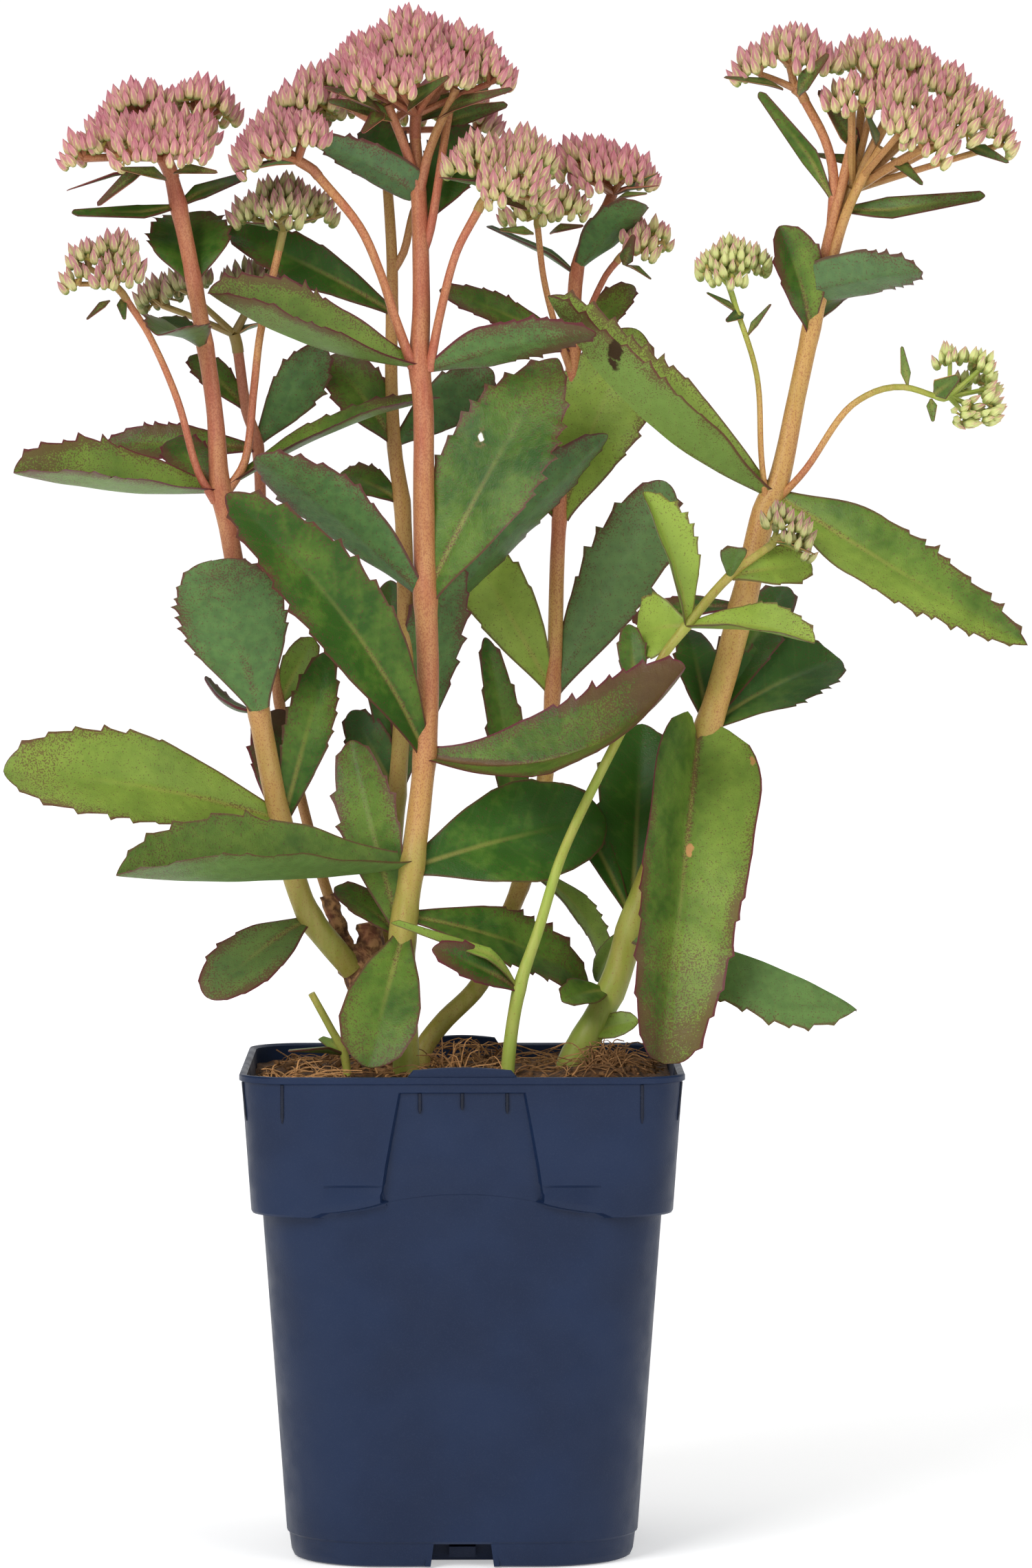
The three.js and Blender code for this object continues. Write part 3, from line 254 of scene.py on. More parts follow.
@dataclass(frozen=True)
class LeafFinish:
    """Fleshy leaf skin with a waxy bloom: satin, with a purple edge, specks and a soft midrib."""

    name: str = "fleshy leaf with waxy bloom"
    deep: str = "#1e3d0d"
    mid: str = "#3b671b"
    lime: str = "#92a944"
    under_deep: str = "#466638"
    under_pale: str = "#547740"
    bloom: str = "#586b57"
    purple: str = "#5c232b"
    rib: str = "#a89a52"
    spots: tuple[tuple[Point, float, str], ...] = (
        ((46.2, -20.0, 364.6), 2.3, "#35240f"),
        ((5.9, -12.0, 339.3), 1.7, "#5f5a2c"),
        ((5.9, -12.0, 339.3), 1.1, "#e6e9e0"),
        ((69.1, -22.0, 214.6), 1.1, "#b98a56"),
        ((88.4, -13.0, 240.7), 0.8, "#a9814a"),
    )
    roughness: float = 0.42

    def build(self) -> bpy.types.Material:
        """Makes the material.

        Returns:
            The material.
        """
        s = Sketch(self.name)
        edge = s.read("edge_mm").outputs["Fac"]
        rib = s.read("rib_mm").outputs["Fac"]
        reach = s.read("reach").outputs["Fac"]
        lime, blush, dull = s.tones()
        around = s.add("ShaderNodeSeparateXYZ", {0: s.add("ShaderNodeUVMap").outputs[0]})
        under = s.math("GREATER_THAN", around.outputs[0], 0.5)
        cloud = s.fade(s.grain(17, 4), 0.32, 0.68)
        mottle = s.fade(s.grain(3.2, 4), 0.3, 0.7)
        fleck = s.grain(0.5, 1)

        green = s.blend(s.slope(cloud, 0.3, 0.34), self.deep, self.mid)
        limed = s.plus(lime, s.slope(cloud, 0.2, -0.1))
        limed = s.plus(limed, s.slope(mottle, 0.12, -0.06))
        upper = s.blend(limed, green, self.lime)
        under_green = s.blend(mottle, self.under_deep, self.under_pale)
        lower = s.blend(s.times(lime, 0.6), under_green, self.lime)
        skin = s.blend(under, upper, lower)
        skin = s.blend(s.times(dull, 0.6), skin, self.bloom)

        # Side veins leave the midrib every 8 mm or so, hardly paler than the blade
        fan = s.minus(s.times(reach, 9.0), s.times(rib, 0.11))
        swayed = s.slope(mottle, 0.9, s.times(fan, 6.28))
        vein = s.fade(s.math("COSINE", swayed), 0.8, 1)
        skin = s.blend(s.times(vein, 0.025), skin, self.rib)

        # The midrib shows on the upper side, tan and speckled, and fades towards the tip
        line = s.times(s.fade(rib, 1.2, 0.1), s.fade(reach, 0.85, 0.1))
        line = s.times(line, s.minus(1, under))
        skin = s.blend(s.times(line, 0.4), skin, self.rib)

        # Purple comes in from the edge and the tip, in specks that run together
        inward = s.times(s.fade(edge, 6, 0), s.fade(reach, 0.2, 0.8, 0.35, 1))
        tipward = s.fade(reach, 0.6, 1.0)
        ribward = s.times(s.fade(rib, 2.4, 0.4), s.fade(reach, 0.6, 0.1, 0, 0.7))
        amount = s.math("MAXIMUM", inward, s.times(tipward, 0.62))
        amount = s.math("MAXIMUM", amount, ribward)
        amount = s.times(amount, s.slope(blush, 1.2, 0.08))
        amount = s.slope(blush, s.fade(reach, 0.1, 0.7, 0.06, 0.26), amount)
        patchy = s.times(amount, s.slope(cloud, 0.9, 0.4))
        threshold = s.slope(patchy, -0.42, 0.7)
        speck = s.fade(s.minus(fleck, threshold), -0.06, 0.06)
        skin = s.blend(s.times(speck, 0.62), skin, self.purple)
        skin = s.blend(s.times(patchy, 0.18), skin, self.purple)
        rim = s.fade(edge, 1.0, 0.3)
        rim = s.times(rim, s.slope(blush, 0.5, 0.6))
        skin = s.blend(rim, skin, self.purple)

        # A brown scab on one leaf, a pale window in another and two tan spots on a third
        where = s.add("ShaderNodeTexCoord").outputs["Object"]
        for (x, y, z), size, color in self.spots:
            moved = Vector((-x, -0.03 * y, -0.6 * z)) * MM
            spot = s.add("ShaderNodeMapping", {0: where, 1: moved, 3: (1, 0.03, 0.6)})
            span = s.add("ShaderNodeVectorMath", {0: spot.outputs[0]}, operation="LENGTH")
            ragged = s.slope(mottle, -size * MM, span.outputs["Value"])
            skin = s.blend(s.fade(ragged, 0.6 * size * MM, 0.2 * size * MM), skin, color)

        s.cover(skin, self.roughness, PLANT_IOR, 0.24)
        s.flesh(0.1, 0.8, (0.5, 1.0, 0.25))
        s.relief(s.plus(s.times(mottle, 0.6), fleck), 0.35, 0.25)
        return s.material


@dataclass(frozen=True)
class StemFinish:
    """Fleshy stem skin: lime at the foot, then tan and salmon, with fine red-brown specks."""

    name: str = "fleshy stem skin"
    lime: str = "#9aae48"
    green: str = "#98933c"
    tan: str = "#bb9150"
    salmon: str = "#b16a49"
    rose: str = "#a9574f"
    speck: str = "#914836"
    roughness: float = 0.45

    def build(self) -> bpy.types.Material:
        """Makes the material.

        Returns:
            The material.
        """
        s = Sketch(self.name)
        ripe, rose, dull = s.tones()
        streak = s.fade(s.grain(2.2, 3, 5), 0.3, 0.7)
        cloud = s.fade(s.grain(16, 2, 1.6), 0.3, 0.7)
        fleck = s.grain(0.4, 1, 1.4)
        swayed = s.plus(ripe, s.slope(cloud, 0.3, -0.15))
        skin = s.blend(s.fade(swayed, -0.5, 0), self.lime, self.green)
        skin = s.blend(s.fade(swayed, 0, 0.5), skin, self.tan)
        skin = s.blend(s.fade(swayed, 0.5, 1), skin, self.salmon)
        skin = s.blend(s.times(rose, 0.85), skin, self.rose)
        skin = s.blend(s.times(streak, 0.16), skin, "#e2bd86")
        threshold = s.slope(swayed, -0.14, 0.64)
        speck = s.fade(s.minus(fleck, threshold), -0.05, 0.06)
        skin = s.blend(s.times(speck, 0.5), skin, self.speck)
        skin = s.blend(s.times(dull, 0.6), skin, "#5d4a35")
        s.cover(skin, self.roughness, PLANT_IOR, 0.35)
        s.flesh(0.1, 1.2, (1.0, 0.5, 0.25))
        s.relief(s.slope(fleck, 0.5, streak), 0.3, 0.2)
        return s.material


@dataclass(frozen=True)
class BudFinish:
    """Closed petals: pink towards the tip, cream between the petals and green at the foot."""

    name: str = "closed stonecrop petals"
    foot: str = "#86934a"
    cream: str = "#cfc08a"
    fresh: str = "#c9cf86"
    pink: str = "#bd7f83"
    tip: str = "#a35768"
    chink: str = "#96763f"

    def build(self) -> bpy.types.Material:
        """Makes the material.

        Returns:
            The material.
        """
        s = Sketch(self.name)
        young, vary, dull = s.tones()
        where = s.add("ShaderNodeSeparateXYZ", {0: s.add("ShaderNodeUVMap").outputs[0]})
        petal = s.math("COSINE", s.times(where.outputs[0], 10 * math.pi))
        height = where.outputs[1]
        streak = s.fade(petal, -0.2, 0.9)
        rise = s.slope(streak, -0.3, height)
        rise = s.plus(rise, s.slope(vary, 0.34, -0.02))
        rise = s.minus(rise, s.times(young, 0.42))
        pale = s.blend(young, self.cream, self.fresh)
        petals = s.blend(s.fade(rise, 0.25, 0.72), pale, self.pink)
        petals = s.blend(s.fade(rise, 0.8, 1.15), petals, self.tip)
        low = s.minus(height, s.times(young, 0.2))
        skin = s.blend(s.fade(low, 0.3, 0.08), petals, self.foot)

        # A brown chink shows low down between two petals
        slit = s.times(s.fade(petal, 0.6, 1), s.fade(height, 0.2, 0.3))
        slit = s.times(slit, s.fade(height, 0.52, 0.4))
        skin = s.blend(s.times(slit, 0.7), skin, self.chink)
        # Painted shade: the buds of heads that lie in shade are darkened towards a dark olive-brown by
        # dull
        skin = s.blend(s.times(dull, 0.62), skin, "#3f3a2c")
        s.cover(skin, 0.5, PLANT_IOR, 0.3)
        s.flesh(0.12, 0.7, (1.0, 0.5, 0.4))
        s.relief(s.grain(0.4, 2), 0.25, 0.1)
        return s.material


@dataclass(frozen=True)
class PotFinish:
    """Injection-moulded polypropylene, dark navy, with a fine spark-eroded grain."""

    name: str = "moulded polypropylene, dark navy"
    navy: str = "#0b1d3a"
    worn: str = "#102342"
    roughness: float = 0.44

    def build(self) -> bpy.types.Material:
        """Makes the material.

        Returns:
            The material.
        """
        s = Sketch(self.name)
        cloud = s.fade(s.grain(30, 3), 0.3, 0.7)
        grain = s.grain(0.45, 2)
        skin = s.blend(cloud, self.navy, self.worn)
        skin = s.blend(s.fade(grain, 0.48, 0.72, 0, 0.22), skin, "#24324c")
        rough = s.fade(s.grain(8, 3), 0.3, 0.7, self.roughness - 0.05, self.roughness + 0.07)
        s.cover(skin, rough, PLASTIC_IOR, 0.27)
        s.relief(grain, 0.3, 0.16)
        return s.material


@dataclass(frozen=True)
class CoirFinish:
    """Peat with coir: dark crumbs and tan fibres, quite matt."""

    name: str = "peat and coir"
    dark: str = "#2a1b11"
    brown: str = "#7f5733"
    tan: str = "#dda56b"

    def build(self) -> bpy.types.Material:
        """Makes the material.

        Returns:
            The material.
        """
        s = Sketch(self.name)
        tan, shade, _ = s.tones()
        crumb = s.fade(s.grain(1.6, 4), 0.3, 0.7)
        peat = s.blend(crumb, self.dark, self.brown)
        skin = s.blend(tan, peat, self.tan)
        skin = s.blend(s.times(shade, 0.5), skin, self.dark)
        s.cover(skin, 0.9, FIBRE_IOR)
        s.relief(crumb, 0.6, 0.5)
        return s.material


@dataclass(frozen=True)
class BarkFinish:
    """Old stonecrop rootstock: flaking brown bark with pale and red patches."""

    name: str = "old rootstock bark"

    def build(self) -> bpy.types.Material:
        """Makes the material.

        Returns:
            The material.
        """
        s = Sketch(self.name)
        flake = s.fade(s.grain(2.4, 5), 0.35, 0.62)
        patch = s.fade(s.grain(7, 3), 0.45, 0.7)
        skin = s.blend(flake, "#573a27", "#b98a5c")
        skin = s.blend(s.times(patch, 0.45), skin, "#a05a48")
        s.cover(skin, 0.8, FIBRE_IOR)
        s.relief(flake, 0.8, 0.8)
        return s.material


class Finishes:
    """Every finish of the object, made once."""

    def __init__(self) -> None:
        """Makes the materials."""
        # The ribs' finish is glossier, and its navy is darker as painted shade, for the shadow lines
        # that the ribs cast
        rib_shade = ("moulded polypropylene, polished in the mould", "#050d1c", "#07122a", 0.3)
        self.leaf = LeafFinish().build()
        self.stem = StemFinish().build()
        self.bud = BudFinish().build()
        self.pot = PotFinish().build()
        self.rib_shade = PotFinish(*rib_shade).build()
        self.coir = CoirFinish().build()
        self.bark = BarkFinish().build()


# Mesh work


class Skin(Enum):
    """The material index of a piece's faces."""

    MAIN = 0
    SECOND = 1
    THIRD = 2


class Shape:
    """A mesh under construction, with the attributes that the finishes read."""

    def __init__(self) -> None:
        """Starts an empty mesh."""
        self.mesh = bmesh.new()
        self.copies = bmesh.new()
        for mesh in (self.mesh, self.copies):
            mesh.loops.layers.uv.new("UVMap")
            for name in ("edge_mm", "rib_mm", "reach"):
                mesh.verts.layers.float.new(name)
            mesh.verts.layers.float_color.new("tone")
        floats = self.mesh.verts.layers.float
        self.edge = floats["edge_mm"]
        self.rib = floats["rib_mm"]
        self.reach = floats["reach"]
        self.tone = self.mesh.verts.layers.float_color["tone"]

    def roll(
        self,
        columns: int,
        rows: int,
        surface: Callable[[int, int], Vector],
        skin: Skin = Skin.MAIN,
        tone: Sequence[float] = (0, 0, 0),
        mark: Callable[[bmesh.types.BMVert, int, int], None] | None = None,
    ) -> None:
        """Adds a grid that is rolled up into a closed tube.

        Args:
            columns: Faces around it.
            rows: Faces along it.
            surface: The place of each grid point, by its column and row.
            skin: Which of the piece's materials it has.
            tone: What the finish reads as its tone.
            mark: Sets further attributes of a grid point.
        """
        made = bmesh.ops.create_grid(
            self.mesh, x_segments=columns, y_segments=rows, size=0.5, calc_uvs=True
        )
        verts = made["verts"]
        faces = {face for vert in verts for face in vert.link_faces}
        for face in faces:
            face.material_index = skin.value
            face.smooth = True
        color = Vector((*tone, 1.0))
        for vert in verts:
            column = round((vert.co.x + 0.5) * columns)
            row = round((vert.co.y + 0.5) * rows)
            vert.co = surface(column % columns, row)
            vert[self.tone] = color
            if mark:
                mark(vert, column, row)
        bmesh.ops.remove_doubles(self.mesh, verts=verts, dist=1e-4)
        rims = {edge for face in faces if face.is_valid for edge in face.edges if edge.is_boundary}
        bmesh.ops.holes_fill(self.mesh, edges=list(rims), sides=0)

    def tube(
        self,
        path: Sequence[tuple[Vector, float]],
        sides: int,
        skin: Skin = Skin.MAIN,
        tone: Callable[[float], Sequence[float]] | Sequence[float] = (0, 0, 0),
    ) -> None:
        """Adds a round tube.

        Args:
            path: Its places and radii.
            sides: Faces around it.
            skin: Which of the piece's materials it has.
            tone: Its tone, or a function that gives it by the share of the length.
        """
        frames = []
        across = None
        last = len(path) - 1
        for row, (at, radius) in enumerate(path):
            along = (path[min(row + 1, last)][0] - path[max(row - 1, 0)][0]).normalized()
            start = across or along.orthogonal()
            across = (start - along * start.dot(along)).normalized()
            frames.append((at, across * radius, along.cross(across) * radius))

        def surface(column: int, row: int) -> Vector:
            """Gives a point of the tube.

            Args:
                column: Its column.
                row: Its row.

            Returns:
                The point.
            """
            at, first, second = frames[row]
            turn = 2 * math.pi * column / sides
            return at + first * math.cos(turn) + second * math.sin(turn)

        def mark(vert: bmesh.types.BMVert, _column: int, row: int) -> None:
            """Sets the tone by the place along the tube."""
            vert[self.tone] = Vector((*tone(row / last), 1.0))

        if callable(tone):
            self.roll(sides, last, surface, skin, mark=mark)
        else:
            self.roll(sides, last, surface, skin, tone)

    def stamp(self, pattern: bpy.types.Mesh, at: Matrix, skin: Skin, tone: Sequence[float]) -> None:
        """Adds a copy of a small mesh.

        Args:
            pattern: The small mesh, with the same attributes.
            at: Its place and size.
            skin: Which of the piece's materials it has.
            tone: What the finish reads as its tone.
        """
        copies = self.copies
        first = len(copies.verts)
        first_face = len(copies.faces)
        copies.from_mesh(pattern)
        copies.verts.ensure_lookup_table()
        copies.faces.ensure_lookup_table()
        verts = copies.verts[first:]
        bmesh.ops.transform(copies, matrix=at, verts=verts)
        color = Vector((*tone, 1.0))
        layer = copies.verts.layers.float_color["tone"]
        for vert in verts:
            vert[layer] = color
        for face in copies.faces[first_face:]:
            face.material_index = skin.value

    def finish(
        self, name: str, materials: Sequence[bpy.types.Material], angle: float = 55
    ) -> bpy.types.Object:
        """Turns the mesh into an object in metres.

        Args:
            name: The object's name.
            materials: Its materials, by their skin.
            angle: Edges sharper than this many degrees aren't shaded smooth.

        Returns:
            The object, at the origin.
        """
        data = bpy.data.meshes.new(name)
        self.copies.to_mesh(data)
        self.copies.free()
        self.mesh.from_mesh(data)
        bmesh.ops.recalc_face_normals(self.mesh, faces=self.mesh.faces)
        self.mesh.transform(Matrix.Scale(MM, 4))
        self.mesh.to_mesh(data)
        self.mesh.free()
        for material in materials:
            data.materials.append(material)
        data.set_sharp_from_angle(angle=math.radians(angle))
        made = bpy.data.objects.new(name, data)
        bpy.context.scene.collection.objects.link(made)
        return made


def deliver(piece: bpy.types.Object, slot: str, *nodes: str) -> None:
    """Puts a finished piece in the place of its nodes.

    Args:
        piece: The piece.
        slot: The record's material slot; not used.
        *nodes: The nodes that it stands for.
    """
    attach(piece, BODY)
    if nodes:
        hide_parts(*nodes)
    LOG.info("%s: %d faces", piece.name, len(piece.data.polygons))


def smooth_path(stations: Sequence[tuple[Vector, float]], step: float) -> list[tuple[Vector, float]]:
    """Draws a smooth curve through a few stations.

    Args:
        stations: Places and radii.
        step: The greatest length between the new places.

    Returns:
        More places and radii, on the curve.
    """
    places = [at for at, _ in stations]
    gaps = [(b - a).length for a, b in zip(places, places[1:])]
    slopes = []
    for k in range(len(places)):
        low, high = max(k - 1, 0), min(k + 1, len(places) - 1)
        slopes.append((places[high] - places[low]) / sum(gaps[low:high]))
    path = []
    for k, gap in enumerate(gaps):
        parts = max(1, math.ceil(gap / step))
        for part in range(parts + (k == len(gaps) - 1)):
            t = part / parts
            at = (
                places[k] * (2 * t**3 - 3 * t**2 + 1)
                + slopes[k] * gap * (t**3 - 2 * t**2 + t)
                + places[k + 1] * (3 * t**2 - 2 * t**3)
                + slopes[k + 1] * gap * (t**3 - t**2)
            )
            radius = stations[k][1] * (1 - t) + stations[k + 1][1] * t
            path.append((at, radius))
    return path


# Leaves and stems


# A tooth's points as shares of its length along the edge and of its height
TOOTH = ((0, -0.3), (0.3, -0.05), (0.62, 0.3), (0.9, 1))
# The last rows of a leaf, close together where its tip rounds off
TIP_ROWS = (0.96, 0.972, 0.983, 0.991, 0.997, 1.0)
# Where a leaf's columns lie from its left edge to its right one
COLUMNS = (-1.0, -0.9, -0.68, -0.4, -0.14, 0.0, 0.14, 0.4, 0.68, 0.9, 1.0)


@dataclass(frozen=True)
class Leaf:
    """One leaf: where it springs and ends, its form and its colouring.

    The arch and the bow are how far the midrib leaves a straight line, as shares of the length, and
    the fold is how steeply each half rises from the midrib, in degrees. Lime, blush and dull are
    shares of yellow-green, of purple and of a grey bloom, and halves, the painted half-light, is how
    much more yellow-green one half is painted: painted light on one side of the fold and painted
    shade on the other. The lobes are how far each half reaches back past the root, in mm. The ridge
    under the midrib and the groove above it each have a height and a half-width in mm.
    """

    root: Point
    tip: Point
    width: float
    face: Point = UP
    arch: float = 0.05
    bow: float = 0.0
    fold: float = 16.0
    teeth: int = 6
    widest: float = 0.6
    blunt: float = 0.58
    lime: float = 0.0
    blush: float = 0.35
    dull: float = 0.0
    wave: float = 0.5
    twist: float = 0.0
    thick: float = 1.7
    painted_half_light: float = 0.0
    base: float = 0.2
    lobes: tuple[float, float] = (0.0, 0.0)
    taper: float = 0.0
    tooth: float = 1.0
    ridge: tuple[float, float] = (0.55, 1.5)
    groove: tuple[float, float] = (0.4, 1.1)

    def outline(self, s: float) -> float:
        """Gives the leaf's outline.

        Args:
            s: The share of the length, from the root.

        Returns:
            The half-width as a share of the widest.
        """
        if s < self.widest:
            rise = math.sin(math.pi / 2 * s / self.widest)
            return self.base + (1 - self.base) * rise ** (0.5 if self.lobes[1] else 1.3)
        onward = (s - self.widest) / (1 - self.widest)
        return (1 - self.taper * onward) * max(0.0, 1 - onward**2) ** self.blunt

    def edge_rows(self, rng: random.Random) -> list[tuple[float, float]]:
        """Lists the rows of one edge.

        Args:
            rng: The draw for the teeth.

        Returns:
            Each row's share of the length, and what a tooth adds to the half-width there.
        """
        toothless = 12
        start = 0.34 + 0.06 * rng.random()
        rows = [(start * k / toothless, 0.0) for k in range(toothless)]
        widths = [0.6 + 0.8 * rng.random() for _ in range(self.teeth)]
        height = self.tooth * min(1.9, 0.075 * self.width)
        valley = start
        for width in widths:
            span = (TIP_ROWS[0] - start) * width / sum(widths)
            tooth = height * (0.4 + 0.9 * rng.random()) * smoothstep(start - 0.1, start + 0.15, valley)
            rows += [(valley + along * span, out * tooth) for along, out in TOOTH]
            valley += span
        return rows + [(share, 0.0) for share in TIP_ROWS]

    def build(self, shape: Shape, rng: random.Random) -> None:
        """Adds the leaf to a shape.

        Args:
            shape: The mesh that it goes in.
            rng: The draw for its teeth and waves.
        """
        root, tip = place(self.root), place(self.tip)
        along = tip - root
        length = along.length
        along.normalize()
        face = Vector(self.face)
        up = (face - along * face.dot(along)).normalized()
        side = along.cross(up)
        half = self.width / 2
        right, left = self.edge_rows(rng), self.edge_rows(rng)
        rows = len(right) - 1
        count = len(COLUMNS) - 1
        phase = rng.random() * FULL_TURN
        swing = rng.uniform(2.2, 3.4)
        fold = math.radians(self.fold)

        def spine(s: float) -> Vector:
            """Gives a point of the midrib.

            Args:
                s: The share of the length.

            Returns:
                The point.
            """
            hump = 4 * s * (1 - s)
            rise, sway = length * (self.arch * hump), self.bow * length * hump
            return root + along * (length * s) + up * rise + side * sway

        def sample(column: int, row: int) -> tuple[Vector, float, float, float]:
            """Works out a point of the leaf.

            Args:
                column: The column, first over the leaf and then back under it.
                row: The row from the root.

            Returns:
                The point, its distances from the edge and the midrib, and its share of the length.
            """
            below = column > count
            w = COLUMNS[2 * count - column if below else column]
            edge = right if w > 0 else left
            middle = (right[row][0] + left[row][0]) / 2
            s = middle + (edge[row][0] - middle) * w * w
            reach = half * self.outline(s)
            across = w * max(reach + edge[row][1] * w * w * w * w, 0.0)
            flat, lift = math.cos(self.twist * s), math.sin(self.twist * s)
            across_dir = side * flat + up * lift
            up_dir = up * flat - side * lift
            bend = math.sqrt(across * across + 1.2) - 1.1
            wave = 0.035 * self.wave * self.width * w * w
            wave *= math.sin(swing * FULL_TURN * s + phase + 2.4 * (w > 0))
            thick = self.thick * (1 - 0.5 * s) * min(1.0, 0.25 + 1.2 * self.outline(s))
            body = thick * (0.08 + 0.42 * math.sqrt(max(0.0, 1 - w * w)))
            if below:
                high, wide = self.ridge
                offset = -body - high * math.exp(-((across / wide) ** 2)) * (1 - s) ** 0.7
            else:
                deep, wide = self.groove
                offset = body - deep * math.exp(-((across / wide) ** 2)) * (1 - s)
            lobe = self.lobes[w > 0] * 2.6 * abs(w) * (1.25 - abs(w))
            lobe *= 1 - smoothstep(0.0, 0.3, s)
            at = (
                spine(s)
                - along * lobe
                + across_dir * (across * math.cos(fold))
                + up_dir * (bend * math.sin(fold) + wave * smoothstep(0.05, 0.4, s) + offset)
            )
            at += up_dir * (0.35 * noise.noise(at / 11))
            return at, abs(reach) * (1 - abs(w)), abs(across), s

        def surface(column: int, row: int) -> Vector:
            """Gives the place of a grid point."""
            return sample(column, row)[0]

        def mark(vert: bmesh.types.BMVert, column: int, row: int) -> None:
            """Sets what the leaf's finish reads.

            Args:
                vert: The grid point.
                column: Its column.
                row: Its row.
            """
            column %= 2 * count
            _, edge, rib, s = sample(column, row)
            vert[shape.edge] = edge * max(1.0, 14 / self.width)
            vert[shape.rib] = rib
            vert[shape.reach] = s
            w = COLUMNS[column if column <= count else 2 * count - column]
            # Painted light and shade: one half is painted more yellow-green and the other less, as light
            # and shade fall across the fold
            lime = self.lime + self.painted_half_light * min(max(2.5 * w, -1.0), 1.0)
            vert[shape.tone] = Vector((min(max(lime, 0.0), 1.0), self.blush, self.dull, 1.0))

        tone = (self.lime, self.blush, self.dull)
        shape.roll(2 * count, rows, surface, Skin.SECOND, tone, mark)


@dataclass(frozen=True)
class Shoot:
    """A stem or branch: its stations and how its colour runs from its foot to its end."""

    stations: tuple[Station, ...]
    ripe: tuple[float, ...] = (0.6, 0.8)
    rose: tuple[float, float] = (0.0, 0.0)
    dull: float = 0.0
    sides: int = 12

    def build(self, shape: Shape, joints: Sequence[Vector]) -> None:
        """Adds the shoot to a shape.

        Args:
            shape: The mesh that it goes in.
            joints: Where leaves spring, and the stem is a little swollen.
        """
        path = smooth_path([(place(s), s[3]) for s in self.stations], 3.5)
        swollen = []
        for at, radius in path:
            near = min(((at - joint).length for joint in joints), default=99.0)
            ring = 0.1 * math.exp(-((near / 3.0) ** 2))
            swollen.append((at, radius * (0.92 + ring + 0.03 * noise.noise(at / 9))))

        def tone(share: float) -> tuple[float, float, float]:
            """Gives the colouring along the shoot.

            Args:
                share: The share of the length.

            Returns:
                How ripe, rose and dull the shoot is there.
            """
            step = share * (len(self.ripe) - 1)
            first = min(int(step), len(self.ripe) - 2)
            ripe = self.ripe[first] + (self.ripe[first + 1] - self.ripe[first]) * (step - first)
            rose = self.rose[0] + (self.rose[1] - self.rose[0]) * share
            return (ripe, rose, self.dull)

        shape.tube(swollen, self.sides, Skin.MAIN, tone)


def shoot(*stations: Station, **looks: object) -> Shoot:
    """Gives a shoot through its stations."""
    return Shoot(stations, **looks)


@dataclass
class LeafyStem:
    """A stem with its branches and leaves."""

    node: str
    shoots: tuple[Shoot, ...]
    leaves: tuple[Leaf, ...]
    slot: str = "greenery"

    def build(self, finishes: Finishes, rng: random.Random) -> None:
        """Makes the stem's piece in the place of its node.

        Args:
            finishes: The materials.
            rng: The draw for its leaves.
        """
        shape = Shape()
        joints = [place(leaf.root) for leaf in self.leaves]
        for index, part in enumerate(self.shoots):
            part.build(shape, joints if index == 0 else [])
        for leaf in self.leaves:
            leaf.build(shape, rng)
        piece = shape.finish(f"{self.node}_foliage", [finishes.stem, finishes.leaf])
        deliver(piece, self.slot, self.node)


